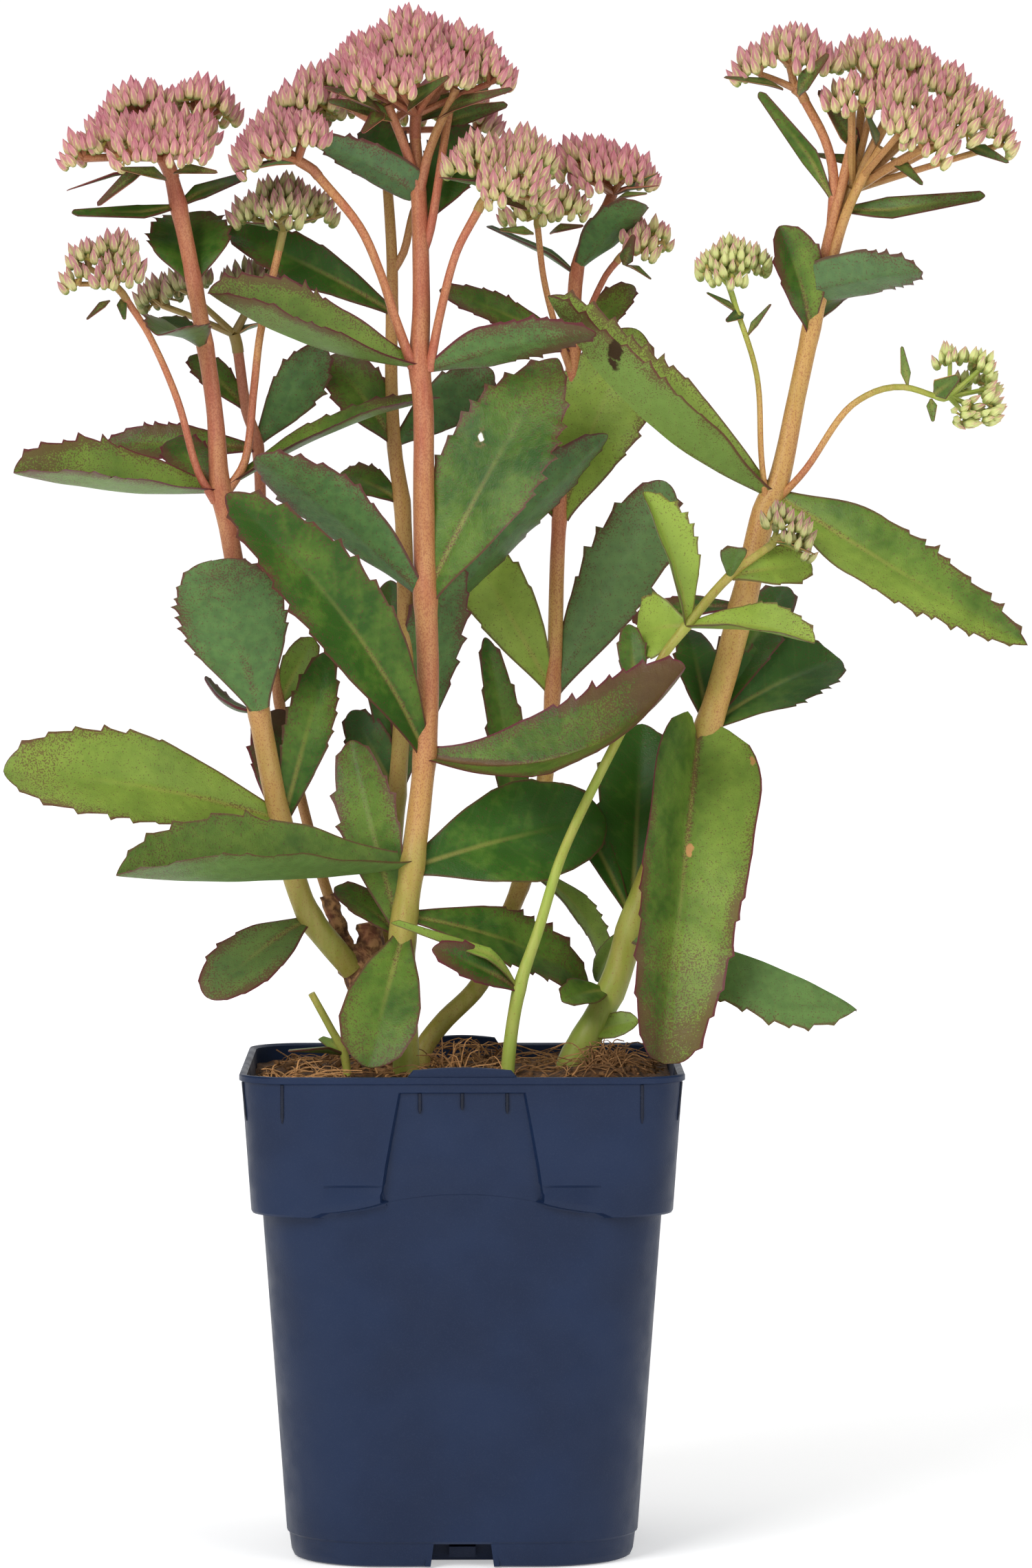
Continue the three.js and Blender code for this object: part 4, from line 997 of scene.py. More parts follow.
FRONT = LeafyStem(
    "stem_front",
    (
        shoot(
            (-16.6, 120, -24, 4.3), (-17.2, 144, -24, 4.4), (-18.3, 181, -24, 4.3),
            (-15.5, 203.5, -23, 4.1), (-13.2, 221, -21, 3.8), (-11.3, 240, -20, 3.8),
            (-10.4, 262, -19, 3.6), (-11.2, 288, -18, 3.8), (-11.7, 318, -16, 3.5),
            (-11.8, 345, -14, 3.4), (-13, 358, -13, 3.5), (-12.4, 375, -12, 2.9), (-12.8, 401, -10, 2.7),
            (-13.4, 413, -9.5, 2.4), (-14.2, 427, -8.5, 1.8),
            ripe=(-0.45, -0.1, 0.65, 0.9, 0.95, 0.75), rose=(0, 0.3), dull=0.06, sides=MAIN_SIDES,
        ),
        shoot(
            (-15, 357, -14, 1.8), (-20.6, 372.5, -18, 1.6), (-24.6, 385, -20, 1.5),
            (-31.3, 400, -23, 1.5), (-44, 415.5, -26, 1.6),
            ripe=(1, 0.8), rose=(0.5, 0.1),
        ),
        shoot(
            (-10, 356, -14, 1.6), (-6.5, 374, -18, 1.5), (-1.7, 392, -20, 1.4), (5, 405, -20, 1.5),
            ripe=(1, 0.9), rose=(0.5, 0.3),
        ),
        shoot(
            (-12.4, 390, -10, 1.4), (-9.6, 399, -11, 1.5), (-5, 428, -12, 1.4), (-2, 444, -13, 1.2),
            ripe=(0.9, 0.8), rose=(0.5, 0.3),
        ),
        shoot(
            (-13.2, 411, -10, 1.7), (-17, 423, -13, 1.6), (-22.6, 437, -17, 1.5),
            ripe=(0.8, 0.7), rose=(0.4, 0.4), dull=0.25,
        ),
        shoot(
            (-13, 410, -10, 1.8), (-9.6, 424, -14, 1.6), (-1.6, 442, -20, 1.3),
            ripe=(0.8, 0.6), rose=(0.4, 0.3), dull=0.25,
        ),
    ),
    (
        Leaf(
            (-13.4, 411, -10), (-45.5, 427, -30), 13, (0.1, 1, 0.5), teeth=4, blush=0.4, fold=12,
            base=0.8, widest=0.35, blunt=0.7, lobes=(0.5, 0.5), dull=0.4,
        ),
        Leaf((-12, 401.5, -7), (2.5, 431, 8), 19, (0.3, -1, 0.5), blush=0.5),
        Leaf(
            (-13, 357.5, -13), (-77.5, 379.9, -36), 32, (0.43, -0.46, 0.78), fold=52, lime=0.45, teeth=7,
            blush=0.8, arch=-0.05, bow=-0.03,
        ),
        Leaf(
            (-11, 356.5, -13), (41, 367.7, -36), 17, (0, 0.8, 0.7), widest=0.4, lime=0.1, blush=0.75,
            fold=12,
        ),
        Leaf((-12, 287.5, -18), (-63, 330, -40), 24, (0.4, 0.8, 0.5), fold=10, blush=0.45),
        Leaf(
            (-11.3, 286, -18), (29.4, 359.7, -7), 33, (-0.3, -1, 0.2), teeth=8, fold=8, lime=0.12,
            widest=0.55, blunt=0.72, blush=0.35,
        ),
        Leaf(
            (-11.4, 239, -20), (-72, 318.5, -47), 28, (0.2, -1, 0.35), teeth=7, arch=0.07, bow=0.03,
            fold=20, widest=0.52, painted_half_light=0.12,
        ),
        Leaf(
            (-11.3, 238.5, -20), (68.5, 265, -50), 34, (-0.45, -0.63, 0.63), fold=35, arch=-0.117,
            teeth=7, blush=1.55, lime=0.2, widest=0.6, blunt=0.55, bow=0.105,
        ),
        Leaf(
            (-15.2, 205, -23), (-106, 201.5, -64), 40, (0, -0.58, 1), fold=54, arch=-0.03, lime=0.25,
            blush=0.25, blunt=0.7,
        ),
        Leaf((-15.4, 204, -22), (44, 219, -5), 34, (-0.1, -1, 0.4), fold=10, teeth=2, blush=0.05),
        Leaf(
            (-17.9, 184, -25), (-29, 142.5, -50), 25, (0, -1, 0.4), teeth=1, lime=0.2, blush=0.3,
            widest=0.7, blunt=0.5,
        ),
        Leaf((-17.5, 189, -22), (39, 168, -7), 23, (0, -0.8, 0.8), arch=0.08, lime=0.15, blush=0.4),
        Leaf((-18, 182, -23), (-34, 243, -10), 19, (-0.2, -1, 0.1), teeth=4, lime=0.2),
        Leaf((-18, 182, -20), (-39, 198, -13), 12, (0, -0.5, 0.6), teeth=2, lime=0.1, blush=0.4),
        Leaf((-13.6, 410, -7), (-29, 431, 9), 16, (-0.3, -1, 0.4), blush=0.3),
    ),
)

LEFT = LeafyStem(
    "stem_left",
    (
        shoot(
            (-33.5, 172.5, -6, 3.9), (-39.9, 180, -8, 4.2), (-46.4, 188.4, -9, 4.1),
            (-51, 199.7, -11, 3.9), (-56.5, 222, -14, 3.7), (-60.9, 244.6, -18, 3.6),
            (-63.6, 260, -21, 3.6), (-67.5, 285, -22, 3.2), (-71.5, 308, -22, 3.1),
            (-73.9, 320, -22, 3.4), (-75.4, 342, -21, 2.8), (-77.9, 360.4, -20, 2.8),
            (-82.7, 388, -18, 2.6), (-86.5, 406.3, -17, 2.8), (-88.6, 415, -17, 2.4),
            ripe=(-0.1, 0.2, 0.7, 0.9, 0.9, 0.8), rose=(0, 0.6), dull=0.08, sides=MAIN_SIDES,
        ),
        shoot(
            (-75.5, 316, -23, 1.5), (-80.8, 325.5, -27, 1.3), (-86.9, 347, -30, 1.2),
            (-95.3, 366.4, -31, 1.1), (-102.5, 377.8, -31, 1.2),
            ripe=(1, 0.8), rose=(0.6, 0.2),
        ),
        shoot(
            (-72.5, 318, -22, 1.7), (-66.3, 328.4, -20, 1.4), (-63.6, 350, -17, 1.3),
            (-61.5, 367.7, -14, 1.3), (-55.8, 393, -12, 1.3),
            ripe=(0.9, 0.8), rose=(0.3, 0.1),
        ),
    ),
    (
        Leaf((-86.5, 406.3, -17), (-119, 404, -34), 9, (0, -0.7, 0.7), arch=-0.06, teeth=0, lime=0.05),
        Leaf((-86.5, 406.3, -17), (-66, 415, -4), 9, (0, -0.7, 0.7), teeth=0, lime=0.05),
        Leaf(
            (-82.3, 383, -18), (-83.5, 403.8, 0), 26, (0, -1, 0.4), teeth=5, lime=0.1, blush=0.45,
            widest=0.5, blunt=0.45,
        ),
        Leaf((-79.6, 363.5, -20), (-93, 367, -58), 20, (0.2, 0.1, 1), fold=26, blush=0.4),
        Leaf((-79.6, 363.5, -20), (-94, 371.5, 4), 11, (0, -0.4, 1), teeth=4, blush=0.5),
        Leaf(
            (-74.3, 319.5, -22), (-137, 325, -40), 30, (0, -0.6, 1), fold=46, arch=-0.04, lime=0.45,
            blush=0.8,
        ),
        Leaf((-73.9, 319.5, -22), (-90, 334.5, -7), 14, (0, -0.9, 0.5), teeth=4, lime=0.1, blush=0.85),
        Leaf((-73.5, 320, -22), (-6.7, 348, 0), 14, (-0.2, -0.3, 1), fold=30, blush=0.5, lime=0.3),
        Leaf(
            (-62, 252.5, -22.8), (-76.5, 298, -40), 33, (0, 1, 0.6), fold=8, teeth=8, blunt=0.42,
            lime=0.05, blush=0.4,
        ),
        Leaf((-62.5, 252, -20), (-78.6, 262.5, -14), 9, arch=-0.15, teeth=4, blush=0.7, dull=0.5),
        Leaf(
            (-56.5, 219, -14), (-140.4, 233.5, -38), 33, (0, -0.9, 0.6), fold=20, blunt=0.5, lime=0.6,
            blush=0.35,
        ),
        Leaf((-56.8, 219, -14), (-56, 252.5, 1), 18, (0, -1, 0.3), teeth=4, blush=0.9, dull=0.3),
        Leaf((-55.5, 216, -13), (-41.5, 270, -8), 15, (0.1, -1, 0), fold=10, lime=0.1, blush=0.2),
        Leaf(
            (-47.5, 188, -9), (-78, 164, -36), 21, (-0.3, -0.9, 0.4), teeth=4, fold=8, blush=0.6,
            blunt=0.45, dull=0.45, tooth=0.5, lime=0.3,
        ),
    ),
)

MIDDLE = LeafyStem(
    "stem_middle",
    (
        shoot(
            (-20, 120, 8, 3.1), (-20.5, 150, 8, 3.1), (-22.4, 190, 8, 3.1), (-20, 226, 5, 3.1),
            (-17.4, 269, 5, 2.9), (-18.1, 313, 8, 2.8), (-20.6, 332, 8, 2.4), (-21.6, 354.5, 8, 2.1),
            (-21.3, 388, 9, 1.9), (-23.3, 421, 14, 1.6),
            ripe=(0, 0.7), dull=0.35, sides=MAIN_SIDES,
        ),
        shoot(
            (-21.3, 386, 9, 1.5), (-17.8, 392, 9, 1.4), (-13.7, 407, 12, 1.3), (-3, 420, 16, 1.2),
            rose=(0.4, 0.2), dull=0.3,
        ),
    ),
    (
        Leaf((-21.3, 374, 8), (-72, 399, 0), 16, (0, -1, 0.4), teeth=4, blush=0.3),
        Leaf((-20.4, 334, 8), (9.5, 356, 5), 17, (0, 1, 0.2), teeth=4, blush=0.3),
        Leaf((-20.4, 334, 8), (-40.5, 360.5, 11), 18, (0.2, -1, 0.2), teeth=4, lime=0.15, blush=0.5),
        Leaf((-19, 316, 8), (-37, 325, 16), 12, (0, -0.8, 0.6), teeth=4, lime=0.1, blush=0.4),
        Leaf((-17.4, 268, 5), (44.5, 336.6, 12), 21, (-0.4, 0.8, 0.5), fold=22, teeth=7, blush=0.4),
        Leaf((-20, 226, 5), (-22, 292, 20), 18, (0, -1, 0.1), teeth=5, blush=0.2, dull=0.2),
        Leaf((-20, 226, 5), (-1.6, 298.6, -3), 20, (-0.2, 0.9, 0.1), lime=0.05, blush=0.45),
        Leaf((-20, 226, 5), (-34, 252, 8), 14, (0, -1, 0.2), teeth=3, blush=0.2, dull=0.3),
        Leaf((-21.5, 204, 7), (-29.8, 239, 15), 12, (0, -1, 0.2), teeth=3, blush=0.4, lime=0.3),
    ),
)

BACK = LeafyStem(
    "stem_back",
    (
        shoot(
            (-13, 120, -3, 3.2), (-12.6, 146, -3, 3.3), (-6.7, 155.6, 0, 3.2), (5.3, 168.2, 5, 3.1),
            (13.3, 187, 10, 3), (19.6, 203.5, 15, 3), (24.8, 227, 20, 2.8), (28, 262, 23, 2.6),
            (29.2, 300, 26, 2.5), (30.5, 320, 27, 2.4), (33.8, 356.4, 27, 2.4), (34.6, 382, 25, 2.4),
            (37, 394, 23, 1.9), (43.3, 404.5, 21, 1.7),
            ripe=(-0.2, 0.2, 0.6, 0.9, 0.8), sides=MAIN_SIDES,
        ),
        shoot(
            (33.2, 356, 26, 1.3), (29, 368, 21, 1.1), (25, 384, 18, 1.1), (23.1, 400, 16, 1.1),
            rose=(0.4, 0.2),
        ),
        shoot(
            (34.2, 357, 27, 1.3), (38, 372, 25, 1.1), (43.9, 385, 22, 1.1), (47.5, 389.5, 21, 1.2),
            ripe=(1, 0.8), rose=(0.7, 0.3),
        ),
    ),
    (
        Leaf(
            (35, 387, 24), (54.6, 407.4, 3), 14.5, (-0.2, 0.8, 0.6), teeth=3, blush=0.3, widest=0.5,
            blunt=0.35,
        ),
        Leaf((34.8, 386, 24), (7.5, 400, 30), 9, (0, -0.2, 1), teeth=0, blush=0.3),
        Leaf((34.2, 362, 26), (52.5, 382, 32), 12, (-0.3, -1, 0.4), teeth=4, blush=0.5, lime=0.3),
        Leaf((34.2, 362, 26), (-7, 380.5, 18), 12, (0, -0.8, 0.6), lime=0.2, blush=0.6),
        Leaf((30, 311, 27), (53.2, 368.8, 26), 30, (-0.2, -1, 0.2), fold=8, lime=0.75, blush=0.5),
        Leaf((29.6, 311, 27), (8, 338, 48), 20, (0.2, -0.8, 0.6), teeth=5, lime=0.3),
        Leaf((27.6, 258, 23), (-1, 306.8, 28), 21, (0.1, -1, 0.1), teeth=4, lime=0.85, blush=0.15),
        Leaf(
            (27.6, 257.5, 23), (62.6, 322, 12), 24, (0.2, 1, 0.2), fold=12, teeth=5, lime=0.2, blush=0.3,
            blunt=0.5, dull=0.35,
        ),
        Leaf((17.9, 198.7, 14), (7, 274.5, 14), 13, (0.5, -1, 0), teeth=4, lime=0.1, blush=0.2),
        Leaf((19.6, 203.5, 15), (44, 173, 18), 14, (0.4, -0.5, 0.7), arch=0.14, lime=0.6, blush=0.15),
    ),
)

RIGHT = LeafyStem(
    "stem_right",
    (
        shoot(
            (29, 120, -8, 4.6), (33.4, 144, -8, 4.7), (39.1, 153.5, -8, 4.7), (46.6, 168.4, -7, 4.7),
            (52.5, 187.3, -6, 4.6), (75, 246, -4, 4.5), (86.4, 286.5, -3, 4.3), (92.5, 313, -2, 4.2),
            (96.8, 322, -2, 3.6), (102.3, 348, 0, 3), (108.2, 375.5, 0, 3), (112.2, 392, 0, 3.1),
            (116, 407, 0, 3),
            ripe=(-0.5, -0.3, 0.25, 0.5, 0.5, 0.75), sides=MAIN_SIDES,
        ),
        shoot(
            (112.6, 396, -1, 1.8), (113.4, 415.6, -4, 1.7), (110.7, 426.7, -7, 1.6),
            (104.5, 438.5, -9, 1.6),
            ripe=(1, 0.8), rose=(0.2, 0.2),
        ),
        shoot(
            (93, 316, -4, 1.1), (91.5, 330, -7, 1), (90.1, 354.5, -9, 0.95), (83, 377.5, -10, 0.95),
            ripe=(0.7, 0.4, -0.4),
        ),
        shoot(
            (97, 317, -3, 1.3), (105.2, 326, -6, 1.2), (117.2, 343.6, -8, 1.15), (126.2, 349.6, -9, 1.1),
            (135, 351, -9, 1.1), (145.3, 348, -9, 1),
            ripe=(0.8, 0.7, 0.3, -0.4),
        ),
        shoot(
            (109.2, 381, -2, 1.9), (112.2, 397, -3, 1.9), (116.6, 415, -4, 1.7), (119.5, 428, -6, 1.5),
            ripe=(0.8, 0.7), rose=(0.3, 0.5), sides=10,
        ),
        shoot(
            (111.6, 384, -3, 1.8), (117, 403, -5, 1.7), (122.5, 415, -8, 1.6), (128, 424, -12, 1.5),
            ripe=(0.7, 0.3), rose=(0.2, 0.2), sides=10,
        ),
    ),
    (
        Leaf(
            (112.6, 409, -4), (90.7, 441, -16), 9, (-0.6, -0.7, 0.3), arch=-0.1, teeth=0, lime=0.2,
            blush=0.3,
        ),
        Leaf(
            (115.4, 405.2, -2), (159.8, 409.4, -14), 13, (0, -0.8, 0.6), teeth=0, lime=0.25, blush=0.45,
            arch=-0.07, fold=24, dull=0.3,
        ),
        Leaf(
            (108.2, 381.5, -5), (140.7, 386.3, -22), 18, (-0.1, 0.9, 0.6), teeth=5, lime=0.1, blush=0.25,
            dull=0.45, base=0.8, widest=0.3, blunt=0.6, lobes=(0.5, 0.5),
        ),
        Leaf(
            (106.5, 368, -1), (96.8, 400, -12), 19, (0.5, -1, 0.2), fold=24, teeth=3, lime=0.1,
            blush=0.6, painted_half_light=0.25, blunt=0.5,
        ),
        Leaf((106.8, 370, 0), (116, 379, 16), 10, (-0.2, -0.6, 0.8), teeth=3, lime=0.3),
        Leaf(
            (94.8, 318, -3), (26.3, 378.8, -22), 35, (0.68, -0.33, 0.66), fold=66, teeth=8, lime=0.72,
            blush=0.5, painted_half_light=0.1, widest=0.45, arch=-0.078, bow=-0.029,
        ),
        Leaf(
            (96.5, 318, -3), (173.2, 272, -18), 25, (0.3, -1, 0.4), fold=18, teeth=8, bow=0.04,
            lime=0.45, blush=0.25, widest=0.36, blunt=0.75, painted_half_light=0.2,
        ),
        Leaf((75.2, 247, -3), (115.5, 268, 16), 30, (-0.3, -0.8, 0.5), fold=22, blush=0.1, dull=0.2),
        Leaf((75.2, 247, -3), (69, 277, 14), 14, (0.2, -1, 0.3), teeth=3, blush=0.2),
        Leaf((75.2, 247, -2), (99.5, 290, 28), 19, (-0.2, -0.9, 0.5), teeth=4, blush=0.3),
        Leaf((85.5, 284, -2), (52, 279.5, 8), 11, (0, -0.7, 0.7), teeth=4, blush=0.9),
        Leaf(
            (71.9, 243.2, -8.2), (61.6, 143.6, -46), 43, (0.6, -1, 0.25), fold=30, blunt=0.26,
            widest=0.18, lime=0.34, blush=0.85, base=0.5, painted_half_light=-0.16, bow=0.03, lobes=(5, 6.5),
            taper=0.16, tooth=0.7, twist=-0.3,
        ),
        Leaf((51, 184, -7), (121, 160, -30), 37, (0, 0.3, -1), fold=34, arch=-0.06, lime=0.2, blush=0.2),
        Leaf((52, 189, -5), (55, 248, 10), 26, (0, -1, 0.2), teeth=3, blush=0.1),
        Leaf((51.5, 189, -6), (30, 230, 2), 10, (0.2, -1, 0.3), teeth=2, blush=0.1),
        Leaf((44.5, 166, -8), (30.5, 163, -24), 12, (0, -0.8, 0.6), teeth=2, lime=0.2, blush=0.1),
        Leaf((51, 186, -5), (41, 169, 8), 8, (-0.3, -0.8, 0.3), teeth=1, lime=0.35, blush=0.1, dull=0.2),
        Leaf((38.5, 152, -8), (54, 157, -14), 9, (0, -0.9, 0.5), teeth=1, lime=0.7, blush=0.1),
    ),
)

PALE = LeafyStem(
    "shoot_pale",
    (
        shoot(
            (13.6, 122, -30, 2.3), (14.1, 144, -30, 2.3), (17.5, 166.7, -29, 2.2),
            (23.4, 184.8, -28, 1.8), (31.1, 209, -27, 1.7), (46.6, 241.3, -27, 1.6),
            (60.9, 267.7, -28, 1.5), (68.9, 278.2, -28, 1.7), (81.5, 292.9, -25, 1.5),
            (93.3, 301.8, -22, 1.3),
            ripe=(-0.5, -0.4, 0.1),
        ),
    ),
    (
        Leaf(
            (17.2, 167, -29), (-21.8, 187, -38), 6.5, (0, -0.8, 0.7), arch=0.2, teeth=0, lime=0.6,
            blush=0,
        ),
        Leaf((17.4, 166.5, -29), (-9.2, 179, -44), 12, (0, -0.9, 0.5), teeth=3, blush=0.7),
        Leaf(
            (68.9, 278.2, -28), (55.5, 319, -34), 20, (0.9, -0.8, 0.3), fold=36, lime=0.9, blush=0.1,
            painted_half_light=0.2,
        ),
        Leaf((68.9, 278.2, -28), (108, 273, -42), 20, (0, -0.5, 1), fold=30, lime=0.9, blush=0.2),
        Leaf((68.9, 278.2, -27), (53.5, 276, -16), 22, (0, -1, 0.3), teeth=3, lime=1, blush=0.1),
        Leaf((53.5, 255, -27), (51, 278.5, -22), 9, (0, -1, 0.2), teeth=3, lime=0.2, blush=0.3),
        Leaf((81.8, 293, -25), (84, 302, -38), 9, (0, 0.5, 1), fold=28, teeth=2, blush=0.2, lime=0.3),
        Leaf((82.6, 293, -25), (107, 296.5, -15), 15, (0, -0.9, 0.5), teeth=3, lime=0.75, blush=0.2),
    ),
    slot="pale_greenery",
)

FAR_LEFT = LeafyStem(
    "stem_far_left",
    (
        shoot(
            (-31, 171, 4, 1.9), (-36.5, 184, 9, 1.9), (-42.2, 199, 11, 1.9), (-49.5, 226, 12, 1.8),
            (-56.5, 258, 11, 1.8), (-61, 300, 8, 1.8), (-62.4, 333, 6, 2), (-65.8, 344, 5, 1.8),
            (-68.4, 362, 3, 1.8),
            ripe=(0.4, 1), rose=(0, 0.5), dull=0.4,
        ),
    ),
    (
        Leaf((-62.6, 334, 6), (-42, 363.5, -3), 16, (0.2, 1, 0.2), teeth=4, blush=0.3),
        Leaf((-65.8, 344, 5), (-83, 360.5, 14), 11, (0, -0.8, 0.6), teeth=3, lime=0.2, blush=0.6),
        Leaf((-62.3, 332, 6), (-109.6, 333, 4), 13, (0, -0.9, 0.5), lime=0.2, blush=0.85),
        Leaf((-56, 254, 11), (-45.6, 274.5, 14), 11, (0, -1, 0.2), teeth=2, lime=0.4, blush=0.2),
    ),
)

LOW = LeafyStem(
    "shoot_low",
    (
        shoot(
            (-34, 124, -30, 1.4), (-36, 146, -30, 1.4), (-40, 154, -31, 1.3), (-46.2, 165.3, -33, 1.2),
            ripe=(-0.3, 0),
        ),
    ),
    (
        Leaf((-36.2, 147, -30), (-53.3, 147.6, -38), 7, teeth=0, blush=0.3, lime=0.3),
        Leaf((-36.2, 147, -30), (-43.5, 151.5, -20), 6, (0, -0.8, 0.6), teeth=0, lime=0.5, blush=0.1),
    ),
    slot="pale_greenery",
)

STEMS = (FRONT, LEFT, MIDDLE, BACK, RIGHT, PALE, FAR_LEFT, LOW)


# Flower heads


@dataclass
class BudPattern:
    """One closed bud, five-sided and pointed, standing on its foot at the origin."""

    length: float = 6.3
    girth: float = 1.42
    sides: int = 10
    rings: tuple[tuple[float, float], ...] = (
        (0.0, 0.4), (0.07, 0.74), (0.22, 0.98), (0.42, 1.0), (0.64, 0.77), (0.84, 0.35), (1.0, 0.03),
    )

    def build(self) -> bpy.types.Mesh:
        """Makes the bud's mesh.

        Returns:
            The mesh, in millimetres.
        """
        shape = Shape()

        def surface(column: int, row: int) -> Vector:
            """Gives a point of the bud, whose petals meet in furrows.

            Args:
                column: Its column.
                row: Its row.

            Returns:
                The point.
            """
            height, share = self.rings[row]
            furrow = 1 + (0.1 if column % 2 == 0 else -0.09)
            radius = self.girth * share * furrow
            turn = 2 * math.pi * column / self.sides
            return Vector((radius * math.cos(turn), radius * math.sin(turn), self.length * height))

        shape.roll(self.sides, len(self.rings) - 1, surface)
        bmesh.ops.recalc_face_normals(shape.mesh, faces=shape.mesh.faces)
        data = bpy.data.meshes.new("bud_pattern")
        shape.mesh.to_mesh(data)
        shape.mesh.free()
        return data


@dataclass
class FlowerHead:
    """A head of buds on stalks that spread from the end of its shoot.

    Each cluster is a dome of buds: its middle as a plant point, and its radius. The lean is how far
    the domes turn up, the spacing is the buds' distance in mm, the dome is how far its edge drops as
    a share of its radius, and grown and stout are the size of the buds and of the stalks. Young and
    dull are shares of green and of shade in the buds' colour.
    """

    node: str
    foot: tuple[Station, Station]
    hub: Point
    clusters: tuple[Station, ...]
    bracts: tuple[Leaf, ...] = ()
    lean: float = 1.0
    young: float = 0.0
    dull: float = 0.0
    slot: str = "buds"
    spacing: float = 2.75
    dome: float = 0.66
    grown: float = 1.0
    stout: float = 1.25

    def build(self, pattern: bpy.types.Mesh, finishes: Finishes, rng: random.Random) -> None:
        """Makes the head's piece in the place of its node.

        Args:
            pattern: The mesh of one bud.
            finishes: The materials.
            rng: The draw for its buds and bracts.
        """
        shape = Shape()
        hub = place(self.hub)
        before, last = (place(s) for s in self.foot)
        radius = self.foot[1][3]
        onward = (last - before).normalized()
        ends = (last - onward * 0.5, last + onward * 2, hub)
        neck = smooth_path([(at, radius) for at in ends], 2.5)
        # Painted shade: the stalks are dulled a little, and more by the head's painted shade
        stalk_tone = (0.85 - 1.5 * self.young, 0.45 * (1 - self.young), 0.16 + self.dull * 0.7)
        shape.tube(neck, 10, Skin.SECOND, stalk_tone)
        taken: list[Vector] = []
        for cluster in self.clusters:
            self.fill(shape, cluster, hub, radius, pattern, taken, stalk_tone, rng)
        for bract in self.bracts:
            bract.build(shape, rng)
        for face in shape.mesh.faces:
            if face.material_index == Skin.SECOND.value and face.verts[0][shape.edge] > 0:
                face.material_index = Skin.THIRD.value
        piece = shape.finish(f"{self.node}_blossom", [finishes.bud, finishes.stem, finishes.leaf], 40)
        deliver(piece, self.slot, self.node)

    def fill(
        self,
        shape: Shape,
        cluster: Station,
        hub: Vector,
        radius: float,
        pattern: bpy.types.Mesh,
        taken: list[Vector],
        stalk_tone: Sequence[float],
        rng: random.Random,
    ) -> None:
        """Adds one cluster with its stalks.

        Args:
            shape: The mesh that it goes in.
            cluster: The cluster's middle and radius.
            hub: Where the head's stalks spread from.
            radius: The shoot's radius there.
            pattern: The mesh of one bud.
            taken: Where buds of this head already stand.
            stalk_tone: The stalks' tone.
            rng: The draw for the buds' places and sizes.
        """
        middle, reach = place(cluster), cluster[3]
        away = middle - hub
        axis = (away.normalized() + Vector((0, 0, self.lean))).normalized()
        across = axis.orthogonal().normalized()
        other = axis.cross(across)
        focus = middle - axis * (0.85 * reach)
        ray = min(radius * 0.75, self.stout * (0.35 + 0.06 * reach))
        bend = hub.lerp(focus, 0.5) + away * 0.06
        stalk = smooth_path([(hub, ray * 1.2), (bend, ray), (focus, ray)], 3)
        shape.tube(stalk, 8, Skin.SECOND, stalk_tone)
        forks = []
        for k in range(FORKS + 1):
            turn = 2 * math.pi * k / FORKS + rng.random()
            out = (0.45 if k < FORKS else 0.0) * reach
            spread = across * math.cos(turn) + other * math.sin(turn)
            at = focus + axis * (0.42 * reach) + spread * out
            forks.append(at)
            shape.tube([(focus, ray * 0.8), (at, ray * 0.6)], 6, Skin.SECOND, stalk_tone)
        count = round(1.5 * math.pi * reach**2 / (HEXAGON_ROW * self.spacing**2))
        for k in range(count):
            share = math.sqrt((k + 0.5) / count)
            turn = GOLDEN_ANGLE * k
            outward = across * math.cos(turn) + other * math.sin(turn)
            out = reach * share * 0.97
            drop = self.dome * reach * share**2
            jitter = Vector((rng.uniform(-0.4, 0.4), rng.uniform(-0.4, 0.4), rng.uniform(-1.2, 0.8)))
            foot = middle + outward * out - axis * (drop + 1.3) + jitter
            if any((foot - other_foot).length < 0.78 * self.spacing for other_foot in taken):
                continue
            taken.append(foot)
            tilt = (axis + outward * (0.6 * share) + Vector((0, 0, 0.7))).normalized()
            tilt = (tilt + 0.12 * Vector((rng.uniform(-1, 1), rng.uniform(-1, 1), 0))).normalized()
            size = rng.uniform(0.82, 1.08) * self.grown
            turn_matrix = tilt.to_track_quat("Z", "Y").to_matrix().to_4x4()
            spin = Matrix.Rotation(rng.uniform(0, FULL_TURN), 4, "Z")
            girth = Matrix.Diagonal((size * rng.uniform(0.94, 1.08),) * 2 + (size, 1.0))
            at = Matrix.Translation(foot) @ turn_matrix @ spin @ girth
            tone = (self.young, rng.random(), self.dull)
            shape.stamp(pattern, at, Skin.MAIN, tone)
            fork = min(forks, key=lambda f: (f - foot).length)
            # The bud stalks take the head's painted shade too
            shape.tube([(fork, 0.42), (foot + tilt * 0.5, 0.55)], 4, Skin.SECOND, (0.05, 0.1, self.dull))


def bract(root: Point, tip: Point, width: float, face: Point = UP, **looks: float) -> Leaf:
    """Gives a small toothless leaf under a flower head.

    Args:
        root: Where it springs.
        tip: Where it ends.
        width: Its width in mm.
        face: Which way its upper side turns.
        **looks: Further fields of the leaf.

    Returns:
        The leaf.
    """
    looks.setdefault("lime", 0.15)
    looks.setdefault("blush", 0.45)
    looks.setdefault("dull", 0.3)
    return Leaf(root, tip, width, face, teeth=0, fold=22, blunt=0.8, thick=1.1, **looks)


# The radii of most clusters
LARGE = 10.4
SMALL = 7.4

